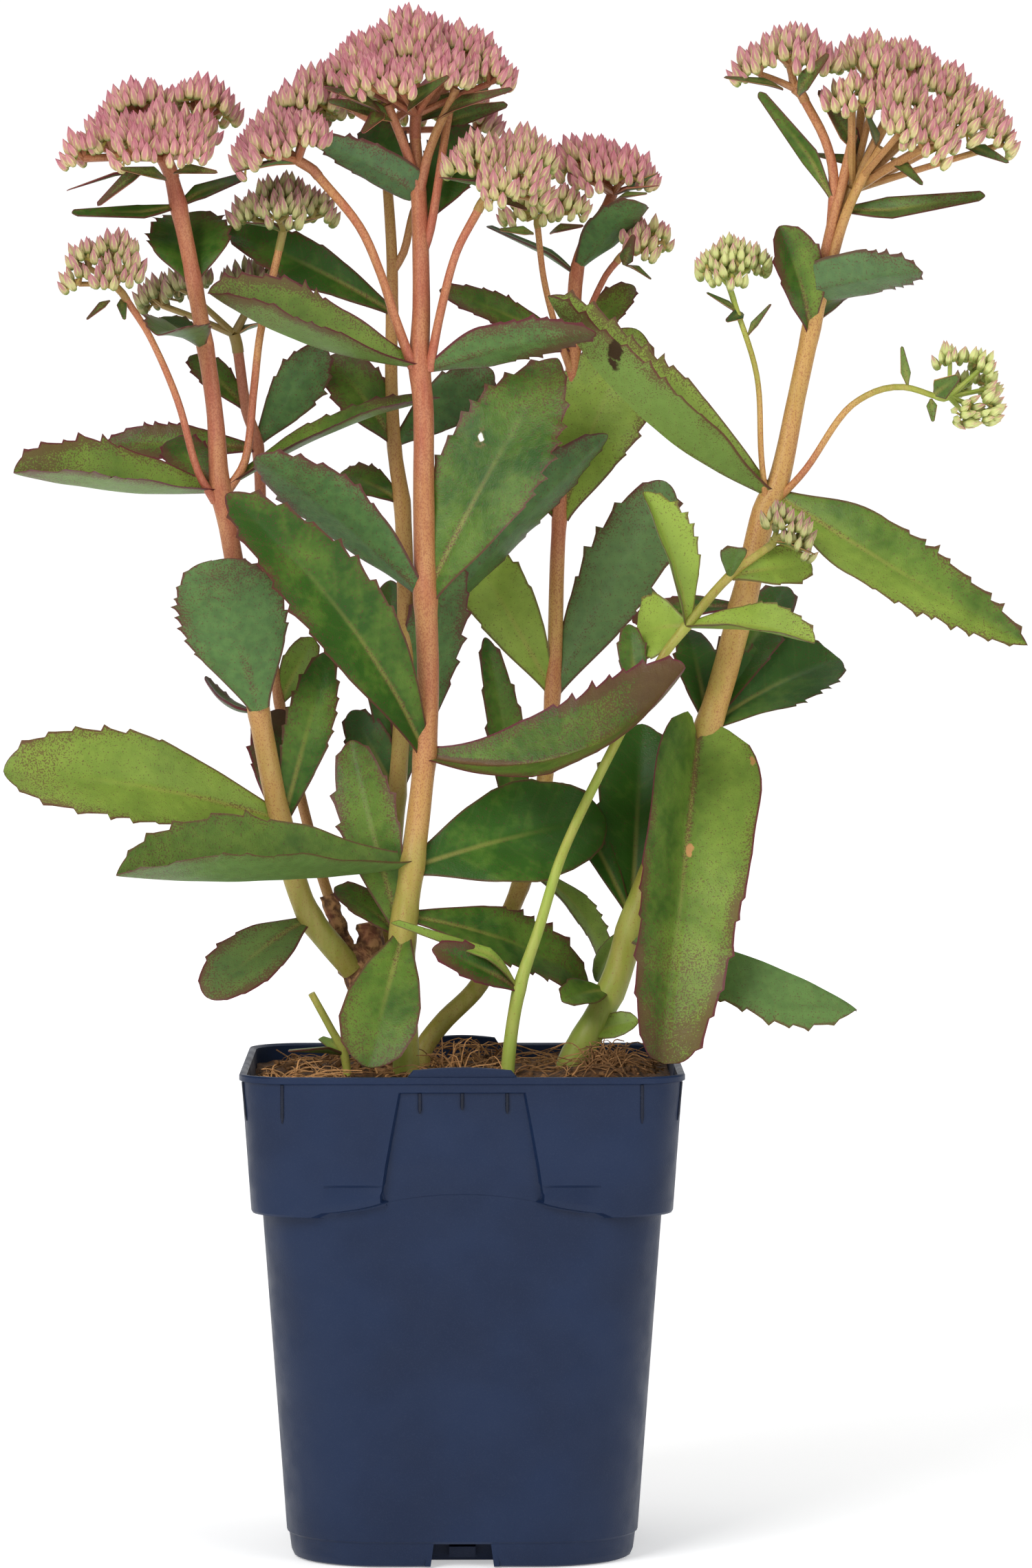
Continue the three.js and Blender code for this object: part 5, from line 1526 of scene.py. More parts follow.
HEADS: tuple[FlowerHead, ...] = (
    FlowerHead(
        "head_front",
        ((-13.4, 413, -9.5, 2.4), (-14.2, 427, -8.5, 1.8)),
        (-14, 434, -8),
        (
            (-15, 463, -6, LARGE), (-31, 455.5, -4, LARGE), (3, 457.5, -4, LARGE),
            (-25, 449.5, -24, LARGE), (-6, 451.5, -24, LARGE), (-37, 449, -14, SMALL),
            (11.5, 449, -14, SMALL), (-29.5, 446.8, -36, 6), (-19.5, 446.2, -38, 6.5),
            (-21, 455, 17, LARGE), (4, 454, 17, LARGE), (-13, 458, -17, SMALL),
        ),
        (
            bract((-24.6, 435.2, -22), (-42, 442.2, -34), 7.5, (0, -0.8, 0.6), blush=1),
            bract((-25.5, 435.6, -24), (-37.6, 440.5, -38), 5, (0, -0.9, 0.5), lime=0.15),
            bract((-16.9, 435.5, -22), (-3.6, 445.4, -38), 9, (0, -0.9, 0.5), lime=0.2),
            bract((-7.7, 432.8, -16), (15.5, 441.7, -32), 10, (0, -0.7, 0.7), blush=0.8),
            bract((-23.9, 434.8, -24), (-30.4, 428.5, -36), 6.5, (0, -1, 0.3), blush=1, dull=0.1),
            bract((-14, 432, -4), (8, 442, 8), 12, (0, -0.9, 0.5)),
            bract((-19, 432, -14), (-41, 438, -26), 9, (0, -0.9, 0.5)),
            bract((-8, 430, -8), (14, 437, -8), 10, (0, -0.9, 0.5)),
        ),
        stout=1.2,
    ),
    FlowerHead(
        "head_front_left",
        ((-31.3, 400, -23, 1.5), (-44, 415.5, -26, 1.6)),
        (-50, 420, -27),
        (
            (-47, 441, -17, LARGE), (-58, 433, -26, LARGE), (-48, 431, -39, SMALL),
            (-61, 426.5, -40, SMALL), (-42, 446, -12, SMALL), (-66, 423.5, -32, SMALL),
        ),
        (
            bract((-50, 420, -27), (-69.2, 416.4, -44), 5.5, lime=0.2),
        ),
        dull=0.2,
    ),
    FlowerHead(
        "head_front_right",
        ((-1.7, 392, -20, 1.4), (5, 405, -20, 1.5)),
        (9, 411, -20),
        (
            (4, 424.5, -27, LARGE), (20, 418, -35, SMALL), (21, 426, -16, LARGE), (11, 413.5, -43, 6),
            (24.5, 412, -30, 6),
        ),
        (
            bract((9, 411, -20), (-7, 415, -32), 5),
            bract((9, 409, -22), (20, 405, -36), 4, (0, -1, 0.4), blush=1),
        ),
        young=0.36, dull=0.08,
    ),
    FlowerHead(
        "head_left",
        ((-86.5, 406.3, -17, 2.8), (-88.6, 415, -17, 2.4)),
        (-91, 421, -17),
        (
            (-99.5, 440.5, -8, LARGE), (-77, 441, -6, LARGE), (-91, 433.5, -27, LARGE),
            (-111, 430.5, -18, LARGE), (-101.5, 426, -38, SMALL), (-83.5, 426.5, -40, SMALL),
            (-119, 424.5, -26, 6), (-79, 432, -19, SMALL), (-92, 435, 12, LARGE),
        ),
        (
            bract((-98, 417, -22), (-120.6, 410.8, -34), 3.6, blush=1),
            bract((-97, 417, -24), (-111.2, 406.2, -34), 7.5, (0, -0.7, 0.9), blush=1),
            bract((-90, 414.5, -26), (-104, 417.5, -42), 6.5, (0, -0.9, 0.4), lime=0.3),
            bract((-88, 416.5, -24), (-74.5, 416.3, -46), 5.5, (0, -0.9, 0.4), lime=0.3),
        ),
        stout=1.7,
    ),
    FlowerHead(
        "head_left_low",
        ((-95.3, 366.4, -31, 1.1), (-102.5, 377.8, -31, 1.2)),
        (-106, 382, -31),
        (
            (-106, 396, -31, SMALL), (-116, 392.5, -34, 6.5), (-103, 389.5, -40, 6.5),
            (-119, 385.5, -38, 4.6), (-108, 385, -45, 4.8),
        ),
        (
            bract((-107.5, 377.5, -31), (-114.6, 371.5, -40), 3.4, (0, -1, 0.4), blush=1),
            bract((-104, 378, -30), (-103, 371.5, -34), 4.5, (0, -1, 0.3)),
        ),
        young=0.42, grown=0.87, dull=0.28,
    ),
    FlowerHead(
        "head_left_middle",
        ((-61.5, 367.7, -14, 1.3), (-55.8, 393, -12, 1.3)),
        (-54.5, 399, -12),
        (
            (-55, 413, -12, LARGE), (-43, 408, -10, SMALL), (-66, 407.5, -14, SMALL),
            (-56, 407, -26, SMALL),
        ),
        (
            bract((-54.5, 399, -12), (-44.5, 402.5, -22), 4.5, lime=0.25),
            bract((-54.5, 399, -12), (-66, 401, -22), 5, lime=0.25),
        ),
        dull=0.55, young=0.6, grown=0.92,
    ),
    FlowerHead(
        "head_back",
        ((37, 394, 23, 1.9), (43.3, 404.5, 21, 1.7)),
        (46, 410, 21),
        (
            (34, 424, 16, LARGE), (50, 420.5, 12, 8.4), (43, 421.5, 26, LARGE), (56, 416.5, 16, 5.5),
            (40, 417, 4, 6),
        ),
        (
            bract((46.6, 410.4, 14), (60.3, 412.4, 0), 3, blush=1),
            bract((46.6, 408.4, 14), (56.5, 410, -2), 4.5, (0, -0.8, 0.6), lime=0.25),
            bract((50, 411, 18), (59.7, 416, 4), 4.5),
        ),
    ),
    FlowerHead(
        "head_back_small",
        ((25, 384, 18, 1.1), (23.1, 400, 16, 1.1)),
        (24, 403, 15),
        (
            (17, 407.5, 11, SMALL), (34.5, 408.5, 4, 6.2), (26, 406, 6, 5),
        ),
        (
            bract((26.9, 398, 8), (37, 400.2, -8), 4.5, (0, -1, 0.4), lime=0.15, blush=0.9),
            bract((22, 398, 10), (11.5, 399, 0), 4.5, (0, -1, 0.4), lime=0.4),
        ),
        young=0.5, grown=0.9,
    ),
    FlowerHead(
        "head_back_side",
        ((43.9, 385, 22, 1.1), (47.5, 389.5, 21, 1.2)),
        (50.5, 392, 19),
        (
            (55, 396.5, 14, 6.4), (60, 398.5, 26, 6.4),
        ),
        (
            bract((50.5, 388.5, 14), (57.7, 383.7, 2), 4),
            bract((49.5, 388, 12), (52.5, 397.5, 2), 7, (0, -1, 0.3), blush=0.9),
        ),
        young=0.45, grown=0.92,
    ),
    FlowerHead(
        "head_right",
        ((112.2, 392, 0, 3.1), (115.5, 405, 0, 3)),
        (119, 411, 0),
        (
            (124, 455, 2, LARGE), (119, 442.5, -20, 8.4), (138, 453, 6, LARGE), (134, 443.5, -18, LARGE),
            (151, 445, 0, LARGE), (162, 436, -4, 8.6), (145, 430.5, -28, LARGE), (153, 434.5, -18, 8),
            (166.5, 427.5, -10, 5.5), (135, 432, -34, 5.5), (128, 450, -14, 6),
        ),
        (
            bract((122, 421, -2), (108.8, 441.5, -4), 9, (0, -1, 0.5), lime=0.15, blush=0.8),
            bract((121, 419, 2), (107.5, 422, 2), 5, (0, -0.9, 0.5), lime=0.15),
            bract((131, 421, -10), (140.7, 412.6, -24), 6, (0, -1, 0.3), lime=0.25),
            bract((154, 424.5, -8), (167, 419.3, -16), 6, (0, -0.9, 0.5), lime=0.15),
            bract((127, 424, -8), (122.5, 436.5, -28), 4.5, (0, -1, 0.3)),
        ),
        lean=0.5, young=0.3, stout=1.45,
    ),
    FlowerHead(
        "head_right_upper",
        ((110.7, 426.7, -7, 1.6), (104.5, 438.5, -9, 1.6)),
        (101.5, 442, -10),
        (
            (99.5, 457.5, -10, LARGE), (108.5, 453, -17, SMALL), (88, 452, -14, SMALL),
        ),
        (
            bract((98, 442, -12), (79.8, 445.2, -24), 5, (0, -0.8, 0.7)),
            bract((102.5, 440, -14), (112, 452.5, -28), 9, (0, -1, 0.5), dull=0.3),
        ),
        young=0.2, dull=0.12,
    ),
    FlowerHead(
        "head_right_young",
        ((90.1, 354.5, -9, 0.95), (83, 377.5, -10, 0.95)),
        (81.5, 382, -11),
        (
            (82.6, 394.8, -11, 8), (90.6, 392.2, -6, 5.2), (75.6, 390.8, -14, 5.2), (81, 388, -19, 5),
        ),
        (
            bract((84, 374, -10), (74.6, 379.8, -14), 3.6, (0, -0.8, 0.6), lime=0.2),
            bract((87.2, 367, -10), (94.4, 376.4, -14), 3.6, (0, -0.8, 0.6), lime=0.2),
            bract((86, 373.5, -8), (80.6, 371, -14), 5.5, (0, -1, 0.3), lime=0.1),
        ),
        young=0.9, slot="young_buds", dome=1, grown=0.8, spacing=2.35, lean=0.8, dull=0.12,
    ),
    FlowerHead(
        "spray_right",
        ((135, 351, -9, 1.1), (145.3, 348, -9, 1)),
        (149, 348, -9),
        (
            (149.2, 361.5, -9, 3.4), (160.5, 359, -8, 4.6), (163, 351.5, -5, 4.2),
            (163.8, 343, -12, 4.4), (156, 341, -14, 4.2), (153.5, 352, 2, 3.4),
        ),
        (
            bract((144.4, 348.8, -12), (151.8, 354.2, -20), 9.5, (0.1, -1, 0.2), lime=0.25, blush=0.15),
            bract((136.2, 351.5, -9), (134.4, 363.5, -10), 4.5, (0, -1, 0), lime=0.4, blush=0.15),
            bract((143.4, 347.5, -9), (144, 340.4, -12), 4.5, (0, -1, 0), lime=0.3, blush=0.15),
        ),
        lean=0.15, young=1, slot="young_buds", grown=0.84, spacing=2.05, dome=0.9,
    ),
    FlowerHead(
        "head_pale",
        ((81.5, 292.9, -25, 1.5), (93.3, 301.8, -22, 1.3)),
        (95.5, 304.5, -23),
        (
            (97.3, 313.5, -24, 4.6), (103, 311, -27, 5.4), (105.5, 304.5, -28, 5),
        ),
        (
            bract((95.5, 304.5, -23), (108, 299.5, -34), 3.6),
        ),
        young=0.7, slot="young_buds", grown=0.8, spacing=2.4, dome=0.9, dull=0.45,
    ),
    FlowerHead(
        "head_far_left",
        ((-65.8, 344, 5, 1.8), (-68.4, 362, 3, 1.8)),
        (-69.5, 367, 2.5),
        (
            (-85, 385, 14, SMALL), (-62, 386, 18, LARGE), (-94, 381, 20, SMALL),
        ),
        (
            bract((-69.5, 367, 2.5), (-58, 371, 14), 7),
        ),
        dull=0.85, young=0.5, grown=0.95,
    ),
    FlowerHead(
        "head_middle",
        ((-21.3, 388, 9, 1.9), (-23.3, 421, 14, 1.6)),
        (-24, 429, 24),
        (
            (-34, 440, 34, SMALL), (-16, 442, 40, LARGE), (8, 434, 24, SMALL),
        ),
        dull=0.3,
    ),
)


# Pot and what it holds


def rounded_square(half: float, corner: float, turn: float) -> tuple[float, float]:
    """Gives a point of a rounded square.

    Args:
        half: Half the square's width.
        corner: The radius of its corners.
        turn: The share of the way round, from the middle of its front.

    Returns:
        The point's x and y.
    """
    straight = half - corner
    arc = corner * math.pi / 2
    quarter = 2 * straight + arc
    side, rest = divmod(turn % 1.0 * 4 * quarter + straight, quarter)
    if rest < 2 * straight:
        x, y = rest - straight, -half
    else:
        angle = (rest - 2 * straight) / corner - math.pi / 2
        x, y = straight + corner * math.cos(angle), -straight + corner * math.sin(angle)
    c, s = math.cos(side * math.pi / 2), math.sin(side * math.pi / 2)
    return x * c - y * s, x * s + y * c


class Zone(Enum):
    """A part of the pot's skin, each with its own rule for its rows."""

    FLAT = "underside and foot band"
    BODY = "body"
    STEP = "body just under the collar"
    UNDER = "underside of the collar"
    COLLAR = "foot of the collar"
    HIGH = "collar"
    LIP = "collar under the lip"
    RIM = "rolled lip"
    INNER = "inside of the collar"
    INNER_BODY = "inside of the body"


@dataclass
class Pot:
    """The square nursery pot: flared collar, rolled lip, recessed panel on each side, foot pockets.

    A pocket has a width at its top and at its foot, and a height. A rib has its place along the
    side, its top and its foot, and how far it stands back from the collar's face.
    """

    height: float = 148.8
    rim_half: float = 66.8
    base_half: float = 52.9
    waist_half: float = 60.1
    collar_low: float = 63.3
    collar_high: float = 66.1
    foot: float = 7.8
    collar_bottom: float = 106.3
    wall: float = 1.5
    panel_top: float = 144.2
    panel_low: float = 111.0
    panel_half: tuple[float, float] = (18.5, 24.7)
    base_corner: float = 29.0
    waist_corner: float = 20.0
    collar_corner: float = 18.0
    lip_corner: float = 17.2
    rim_corner: float = 17.0
    inner_corner: float = 15.6
    corner_columns: int = 10
    pocket: tuple[float, float, float] = (17.2, 19.6, 7.2)
    pocket_depth: float = 16.5
    drain: tuple[float, float] = (8.0, 3.2)
    side_marks: tuple[float, ...] = (0.25, 0.5, 0.75, 0.98, 1.02, 1.12, 1.3, 1.55, 1.7, 1.77)
    crease: float = 0.8
    ribs: tuple[tuple[float, float, float, float], ...] = (
        (0.0, 143.9, 138.9, -0.9), (-12.6, 143.9, 137.8, -0.9), (13.4, 143.9, 137.8, -0.9),
        (-53.5, 146.4, 134.8, 0.0), (53.5, 146.4, 134.8, 0.0),
    )

    def step_height(self, x: float) -> float:
        """Gives the arch of the collar's lower edge over each panel.

        Args:
            x: The distance from the side's middle.

        Returns:
            The height of the collar's lower edge there.
        """
        x = abs(x)
        wide = self.panel_half[1]
        if x < wide:
            return self.collar_bottom + 4.6 + 2.3 * (1 - (x / wide) ** 2)
        return self.collar_bottom + 4.6 * math.exp(-(((x - wide) / 15) ** 0.9))

    def body_half(self, z: float) -> float:
        """Gives the body's half-width at a height."""
        share = (z - self.foot) / (self.collar_bottom - self.foot)
        return self.base_half + 0.4 + (self.waist_half - self.base_half - 0.4) * share

    def corner_at(self, z: float) -> float:
        """Gives how the corners tighten upwards.

        Args:
            z: The height.

        Returns:
            The corner's radius there.
        """
        if z > self.collar_bottom:
            return self.collar_corner - (z - self.collar_bottom) / 40
        narrowing = self.base_corner - self.waist_corner
        return self.base_corner - narrowing * smoothstep(0, self.collar_bottom + 20, z)

    def collar_half(self, z: float) -> float:
        """Gives the collar's half-width at a height."""
        rise = (z - self.collar_bottom) / (self.height - 2 - self.collar_bottom)
        return self.collar_low + (self.collar_high - self.collar_low) * rise

    def panel_edge(self, z: float) -> float:
        """Gives how the recessed panel widens downwards.

        Args:
            z: The height.

        Returns:
            Half the panel's width there.
        """
        share = (self.panel_top - z) / (self.panel_top - self.panel_low)
        low, high = self.panel_half
        return low + (high - low) * min(max(share, 0.0), 1.0)

    def panel_depth(self, z: float) -> float:
        """Gives how deep the panel lies under the collar's face at a height."""
        share = (self.panel_top - z) / (self.panel_top - self.panel_low)
        return 1.1 + 1.9 * min(max(share, 0.0), 1.0)

    def side_columns(self) -> list[tuple[float, bool]]:
        """Lists the columns of one side.

        Returns:
            Each column's share of the panel's half-width, and whether it is in the panel.
        """
        right = [(mark, mark < 1) for mark in self.side_marks]
        return [(-mark, inside) for mark, inside in reversed(right)] + [(0.0, True)] + right

    def build_wall(self, shape: Shape) -> None:
        """Adds the pot's wall and floor as one rolled skin.

        Args:
            shape: The mesh that they go in.
        """
        columns_of_side = self.side_columns()
        per_side = len(columns_of_side) + self.corner_columns
        top = self.height
        zones = (
            (Zone.FLAT, ((0, -26), (0, -4), (0, -2.8), (0.5, -1.7), (2, -1), (7.2, -0.3), (7.6, 0.1))),
            (Zone.BODY, ((8, 0), (30, 0), (55, 0), (80, 0), (96, 0))),
            (Zone.STEP, ((-1.5, 0), (-0.25, 0))),
            (Zone.UNDER, ((0, 0.12), (0.25, 0.9))),
            (Zone.COLLAR, ((0.9, 0), (2.5, 0))),
            (Zone.HIGH, ((114.3, 0.7 * self.crease), (115.6, self.crease), (116.3, 0))),
            (Zone.HIGH, ((122, 0), (134, 0), (top - 5, 0))),
            (Zone.LIP, ((top - 4.6, 0), (top - 2.3, 0))),
            (Zone.RIM, ((top - 2, 0), (top - 0.6, 0), (top - 0.1, -0.35))),
            (Zone.RIM, ((top, -0.9), (top - 0.1, -1.5))),
            (Zone.INNER, ((top - 0.7, 0), (134, 0), (115, 0))),
            (Zone.INNER_BODY, ((105, 0), (60, 0), (2.4, 0), (2.4, -24))),
        )
        levels = [(zone, level, extra) for zone, rows in zones for level, extra in rows]

        def point(column: int, row: int) -> Vector:
            """Works out a point of the skin.

            Args:
                column: Its column, round the pot.
                row: Its row among the levels.

            Returns:
                The point.
            """
            zone, level, extra = levels[row]
            side, index = divmod(column, per_side)
            on_corner = index >= len(columns_of_side)
            mark, inside = (1.0, False) if on_corner else columns_of_side[index]
            recess = 0.0
            x = mark * self.panel_edge(level if level > 20 else self.panel_low)
            if zone in (Zone.STEP, Zone.UNDER, Zone.COLLAR):
                x = 99.0 if on_corner else mark * self.panel_edge(self.panel_low)
                z = self.step_height(x) + level
                if zone is Zone.STEP:
                    half = self.body_half(z)
                elif zone is Zone.UNDER:
                    face = self.collar_half(z) - (self.panel_depth(z) if inside else 0)
                    half = self.body_half(z) + (face - self.body_half(z)) * extra
                else:
                    half = self.collar_half(z)
                    recess = self.panel_depth(z) if inside else 0.0
                corner = self.waist_corner if zone is Zone.STEP else self.collar_corner
            elif zone is Zone.FLAT:
                z, half, corner = level, self.base_half + extra, self.base_corner + extra
            elif zone is Zone.BODY:
                z, half, corner = level, self.body_half(level), self.corner_at(level)
            elif zone is Zone.HIGH:
                # The crease dents the collar beside the panel, and the panel's rows stay above its arch
                z = max(level, 116.2 + 0.2 * (level - 114)) if inside else level
                half, corner = self.collar_half(z), self.corner_at(z)
                dent = extra if 1.05 < abs(mark) < 1.75 else 0.0
                recess = self.panel_depth(z) if inside else dent
            elif zone is Zone.LIP:
                z, half, corner = level, self.collar_half(level), self.lip_corner
            elif zone is Zone.RIM:
                z, half, corner = level, self.rim_half + extra, self.rim_corner + extra
            elif zone is Zone.INNER:
                z, half, corner = level, self.collar_half(level) - 1.6, self.inner_corner
                recess = (self.panel_depth(z) - 0.4) * 0.8 if inside and level < 144 else 0.0
            else:
                z, half = level, self.body_half(max(level, 8)) - self.wall + extra
                corner = max(self.corner_at(level) - self.wall + extra, 4.0)
            straight = half - corner
            if on_corner:
                step = (index - len(columns_of_side)) / (self.corner_columns - 1)
                angle = -math.pi / 2 + math.pi / 2 * step
                px, py = straight + corner * math.cos(angle), -straight + corner * math.sin(angle)
            else:
                widest = self.side_marks[-1] * self.panel_edge(self.panel_low)
                squeeze = min(1.0, 0.93 * straight / widest)
                px, py = x * squeeze, -half + recess
            c, s = math.cos(side * math.pi / 2), math.sin(side * math.pi / 2)
            return Vector((px * c - py * s, px * s + py * c, z))

        shape.roll(4 * per_side, len(levels) - 1, point)

    def build_tab(self, shape: Shape, half: float, height: float, behind: bool) -> None:
        """Adds a label tab on the rim.

        Args:
            shape: The mesh that it goes in.
            half: Half its width.
            height: How far it stands above the rim.
            behind: Whether it stands at the back.
        """
        rows = 14
        thick = 1.3

        def point(column: int, row: int) -> Vector:
            """Gives a point of the tab, a thin plate with an arched top.

            Args:
                column: Its column.
                row: Its row.

            Returns:
                The point.
            """
            x = half * (2 * row / rows - 1)
            share = min(1.0, (half - abs(x)) / 1.6)
            arch = 0.8 + height * (0.5 + 0.5 * math.cos(x / half * 1.35))
            top = self.height - 0.8 + arch * share
            bottom = self.height - 1.6
            front = -self.rim_half + 0.9
            ring = (
                (front, bottom),
                (front, top - 0.35),
                (front + 0.35, top),
                (front + thick - 0.35, top),
                (front + thick, top - 0.35),
                (front + thick, bottom),
            )
            y, z = ring[column]
            return Vector((-x, -y, z)) if behind else Vector((x, y, z))

        shape.roll(6, rows, point)

    def build_ribs(self, shape: Shape) -> None:
        """Adds the small upright ribs under the lip on every side.

        Args:
            shape: The mesh that they go in.
        """
        for side in range(4):
            turn = Matrix.Rotation(side * math.pi / 2, 4, "Z")
            for x, high, low, lift in self.ribs:
                path = []
                for k in range(7):
                    z = high + (low - high) * k / 6
                    radius = 0.55 if k < 6 else 0.2
                    y = -self.collar_half(z) - lift
                    if abs(x) > 40:
                        straight = self.collar_half(z) - self.lip_corner
                        over = max(abs(x) - straight, 0.0)
                        y = -(straight + math.sqrt(max(self.lip_corner**2 - over**2, 0.0)))
                    path.append((turn @ Vector((x, y, z)), radius))
                # The ribs take the darker navy, painted shade for the shadow lines along them
                shape.tube(path, 8, Skin.SECOND)

    def pocket_blocks(self, grow: float) -> bpy.types.Object:
        """Makes a block in the form of each foot pocket, and of its drain slot.

        Args:
            grow: How far a housing reaches past the pocket that it goes round, or 0 for the pocket.

        Returns:
            One object with all the blocks.
        """
        blocks = bmesh.new()
        front, back = (0.8, self.pocket_depth + grow) if grow else (-4, self.pocket_depth)
        low, top = (0.4 if grow else -2.0), self.pocket[2] + grow
        for side in range(4):
            turn = Matrix.Rotation(side * math.pi / 2, 4, "Z")
            for vert in bmesh.ops.create_cube(blocks, size=1)["verts"]:
                wide = self.pocket[0] if vert.co.z > 0 else self.pocket[1]
                y = -self.base_half + (back if vert.co.y > 0 else front)
                z = top if vert.co.z > 0 else low
                vert.co = turn @ Vector((vert.co.x * (wide + 2 * grow), y, z))
            if grow:
                continue
            for vert in bmesh.ops.create_cube(blocks, size=1)["verts"]:
                x = vert.co.x * self.drain[0]
                y = -self.base_half + self.pocket_depth + vert.co.y * self.drain[0]
                vert.co = turn @ Vector((x, y, 3.0 + vert.co.z * self.drain[1]))
        blocks.transform(Matrix.Scale(MM, 4))
        bmesh.ops.recalc_face_normals(blocks, faces=blocks.faces)
        data = bpy.data.meshes.new("pocket_blocks")
        blocks.to_mesh(data)
        blocks.free()
        made = bpy.data.objects.new("pocket_blocks", data)
        bpy.context.scene.collection.objects.link(made)
        return made

    def carve_pockets(self, piece: bpy.types.Object) -> None:
        """Cuts the foot pockets and their drain slots, with a housing round each.

        Args:
            piece: The pot.
        """
        for grow, operation in ((1.4, "UNION"), (0.0, "DIFFERENCE")):
            cutter = self.pocket_blocks(grow)
            carve = piece.modifiers.new("pockets", "BOOLEAN")
            carve.object = cutter
            carve.operation = operation
            carve.solver = "EXACT"
            bpy.context.view_layer.update()
            carved = piece.evaluated_get(bpy.context.evaluated_depsgraph_get())
            piece.data = bpy.data.meshes.new_from_object(carved)
            piece.modifiers.clear()
            bpy.data.objects.remove(cutter)

    def build(self, finishes: Finishes) -> None:
        """Makes the pot's pieces in the place of its node.

        Args:
            finishes: The materials.
        """
        wall = Shape()
        self.build_wall(wall)
        body = wall.finish("pot_moulding", [finishes.pot], 28)
        self.carve_pockets(body)
        body.data.set_sharp_from_angle(angle=math.radians(28))
        deliver(body, "pot", "pot")
        trim = Shape()
        self.build_tab(trim, 17.0, 2.9, False)
        self.build_tab(trim, 12.0, 2.5, True)
        self.build_ribs(trim)
        piece = trim.finish("pot_tabs_and_ribs", [finishes.pot, finishes.rib_shade], 35)
        deliver(piece, "pot")


@dataclass
class Substrate:
    """Peat and coir that fill the pot: an uneven mound, crumbs, fibres and tufts.

    The walls are heights and half-widths as shares of the mound's. A tuft has its place, how many
    fibres it has, how far they reach and rise, and how pale they are.
    """

    half: float = 64.0
    corner: float = 15.2
    crown: float = 146.8
    fall: float = 3.4
    crumbs: int = 480
    fibres: int = 320
    heap: Point = (44.0, -36.0, 5.5)
    columns: int = 160
    top_rows: int = 36
    walls: tuple[tuple[float, float], ...] = (
        (2.9, 0.0), (2.9, 0.48), (8.3, 0.49), (8.6, 0.78), (60.0, 0.85), (101.0, 0.89),
        (115.0, 0.905), (142.0, 0.955),
    )
    tufts: tuple[tuple[float, float, int, float, float, float], ...] = (
        (-53.0, -52.0, 34, 11, 9, 0.9), (-3.0, -30.0, 26, 8, 12, 0.9), (44.0, -38.0, 90, 9, 8, 0.35),
        (-30.0, -54.0, 20, 20, 3, 1.0),
    )
    seed: int = 5

    def level(self, x: float, y: float) -> float:
        """Gives the mound's height.

        Args:
            x: The place to the right.
            y: The place to the back.

        Returns:
            The height.
        """
        out = max(abs(x), abs(y)) / self.half
        coarse = 1.5 * noise.noise(Vector((x / 9, y / 9, 3)))
        fine = 0.7 * noise.noise(Vector((x / 2.6, y / 2.6, 7)))
        east, north = (x - self.heap[0]) / 13, (y - self.heap[1]) / 13
        heap = self.heap[2] * math.exp(-(east**2) - north**2)
        return self.crown - self.fall * out * out + (coarse + fine) + heap

    def build_mound(self, shape: Shape) -> None:
        """Adds the fill with its uneven top.

        Args:
            shape: The mesh that it goes in.
        """

        def point(column: int, row: int) -> Vector:
            """Gives a point of the fill.

            Args:
                column: Its column.
                row: Its row.

            Returns:
                The point.
            """
            turn = column / self.columns
            if row < len(self.walls):
                z, share = self.walls[row]
                half = self.half * share
                corner = 27.0 if z < 10 else (23.0 if z < 70 else 17.0)
                x, y = rounded_square(max(half, 0.02), min(corner, half * 0.95) or 0.01, turn)
                return Vector((x, y, z))
            share = 1 - (row - len(self.walls)) / self.top_rows
            x, y = rounded_square(self.half, self.corner, turn)
            x, y = x * share, y * share
            return Vector((x, y, self.level(x, y)))

        shape.roll(self.columns, len(self.walls) + self.top_rows, point, tone=(0.0, 0.8, 0))

    def build_litter(self, shape: Shape) -> None:
        """Adds the crumbs and the fibres on the mound.

        Args:
            shape: The mesh that they go in.
        """
        rng = random.Random(self.seed)
        crumb = Shape()
        bmesh.ops.create_icosphere(crumb.mesh, subdivisions=1, radius=1)
        for vert in crumb.mesh.verts:
            vert.co *= 1 + 0.3 * noise.noise(vert.co * 2)
        for face in crumb.mesh.faces:
            face.smooth = True
        pattern = bpy.data.meshes.new("crumb_pattern")
        crumb.mesh.to_mesh(pattern)
        crumb.mesh.free()
        for _ in range(self.crumbs):
            x, y = rng.uniform(-61, 61), rng.uniform(-61, 61)
            if not self.inside(x, y, 1.5):
                continue
            size = 0.5 + 1.6 * rng.random() ** 3
            turn = Matrix.Rotation(rng.uniform(0, FULL_TURN), 4, Vector((rng.random(), rng.random(), 1)))
            scale = Matrix.Diagonal((size, size * rng.uniform(0.6, 1), size * rng.uniform(0.5, 0.9), 1))
            at = Matrix.Translation(Vector((x, y, self.level(x, y) + 0.2 * size))) @ turn @ scale
            shape.stamp(pattern, at, Skin.MAIN, (0.25 * rng.random(), rng.random(), 0))
        for _ in range(self.fibres):
            self.fibre(shape, rng)
        for x, y, count, reach, rise, pale in self.tufts:
            for _ in range(count):
                foot = Vector((x + rng.gauss(0, 3), y + rng.gauss(0, 2), 0))
                out = Vector((rng.gauss(0, 1), rng.gauss(0, 0.6), 0)) * reach * 0.7
                lift = rise * rng.random()
                ends = (foot, foot + 0.5 * out, foot + out)
                if not all(self.inside(p.x, p.y, 0.8) for p in ends):
                    continue
                path = [
                    (Vector((p.x, p.y, self.level(p.x, p.y) + 0.2 + lift * share)), 0.3 - 0.07 * k)
                    for k, (p, share) in enumerate(zip(ends, (0, 0.9, 1)))
                ]
                tone = (pale * rng.uniform(0.5, 1), 0.3 * rng.random(), 0)
                shape.tube(smooth_path(path, 2), 4, Skin.MAIN, tone)

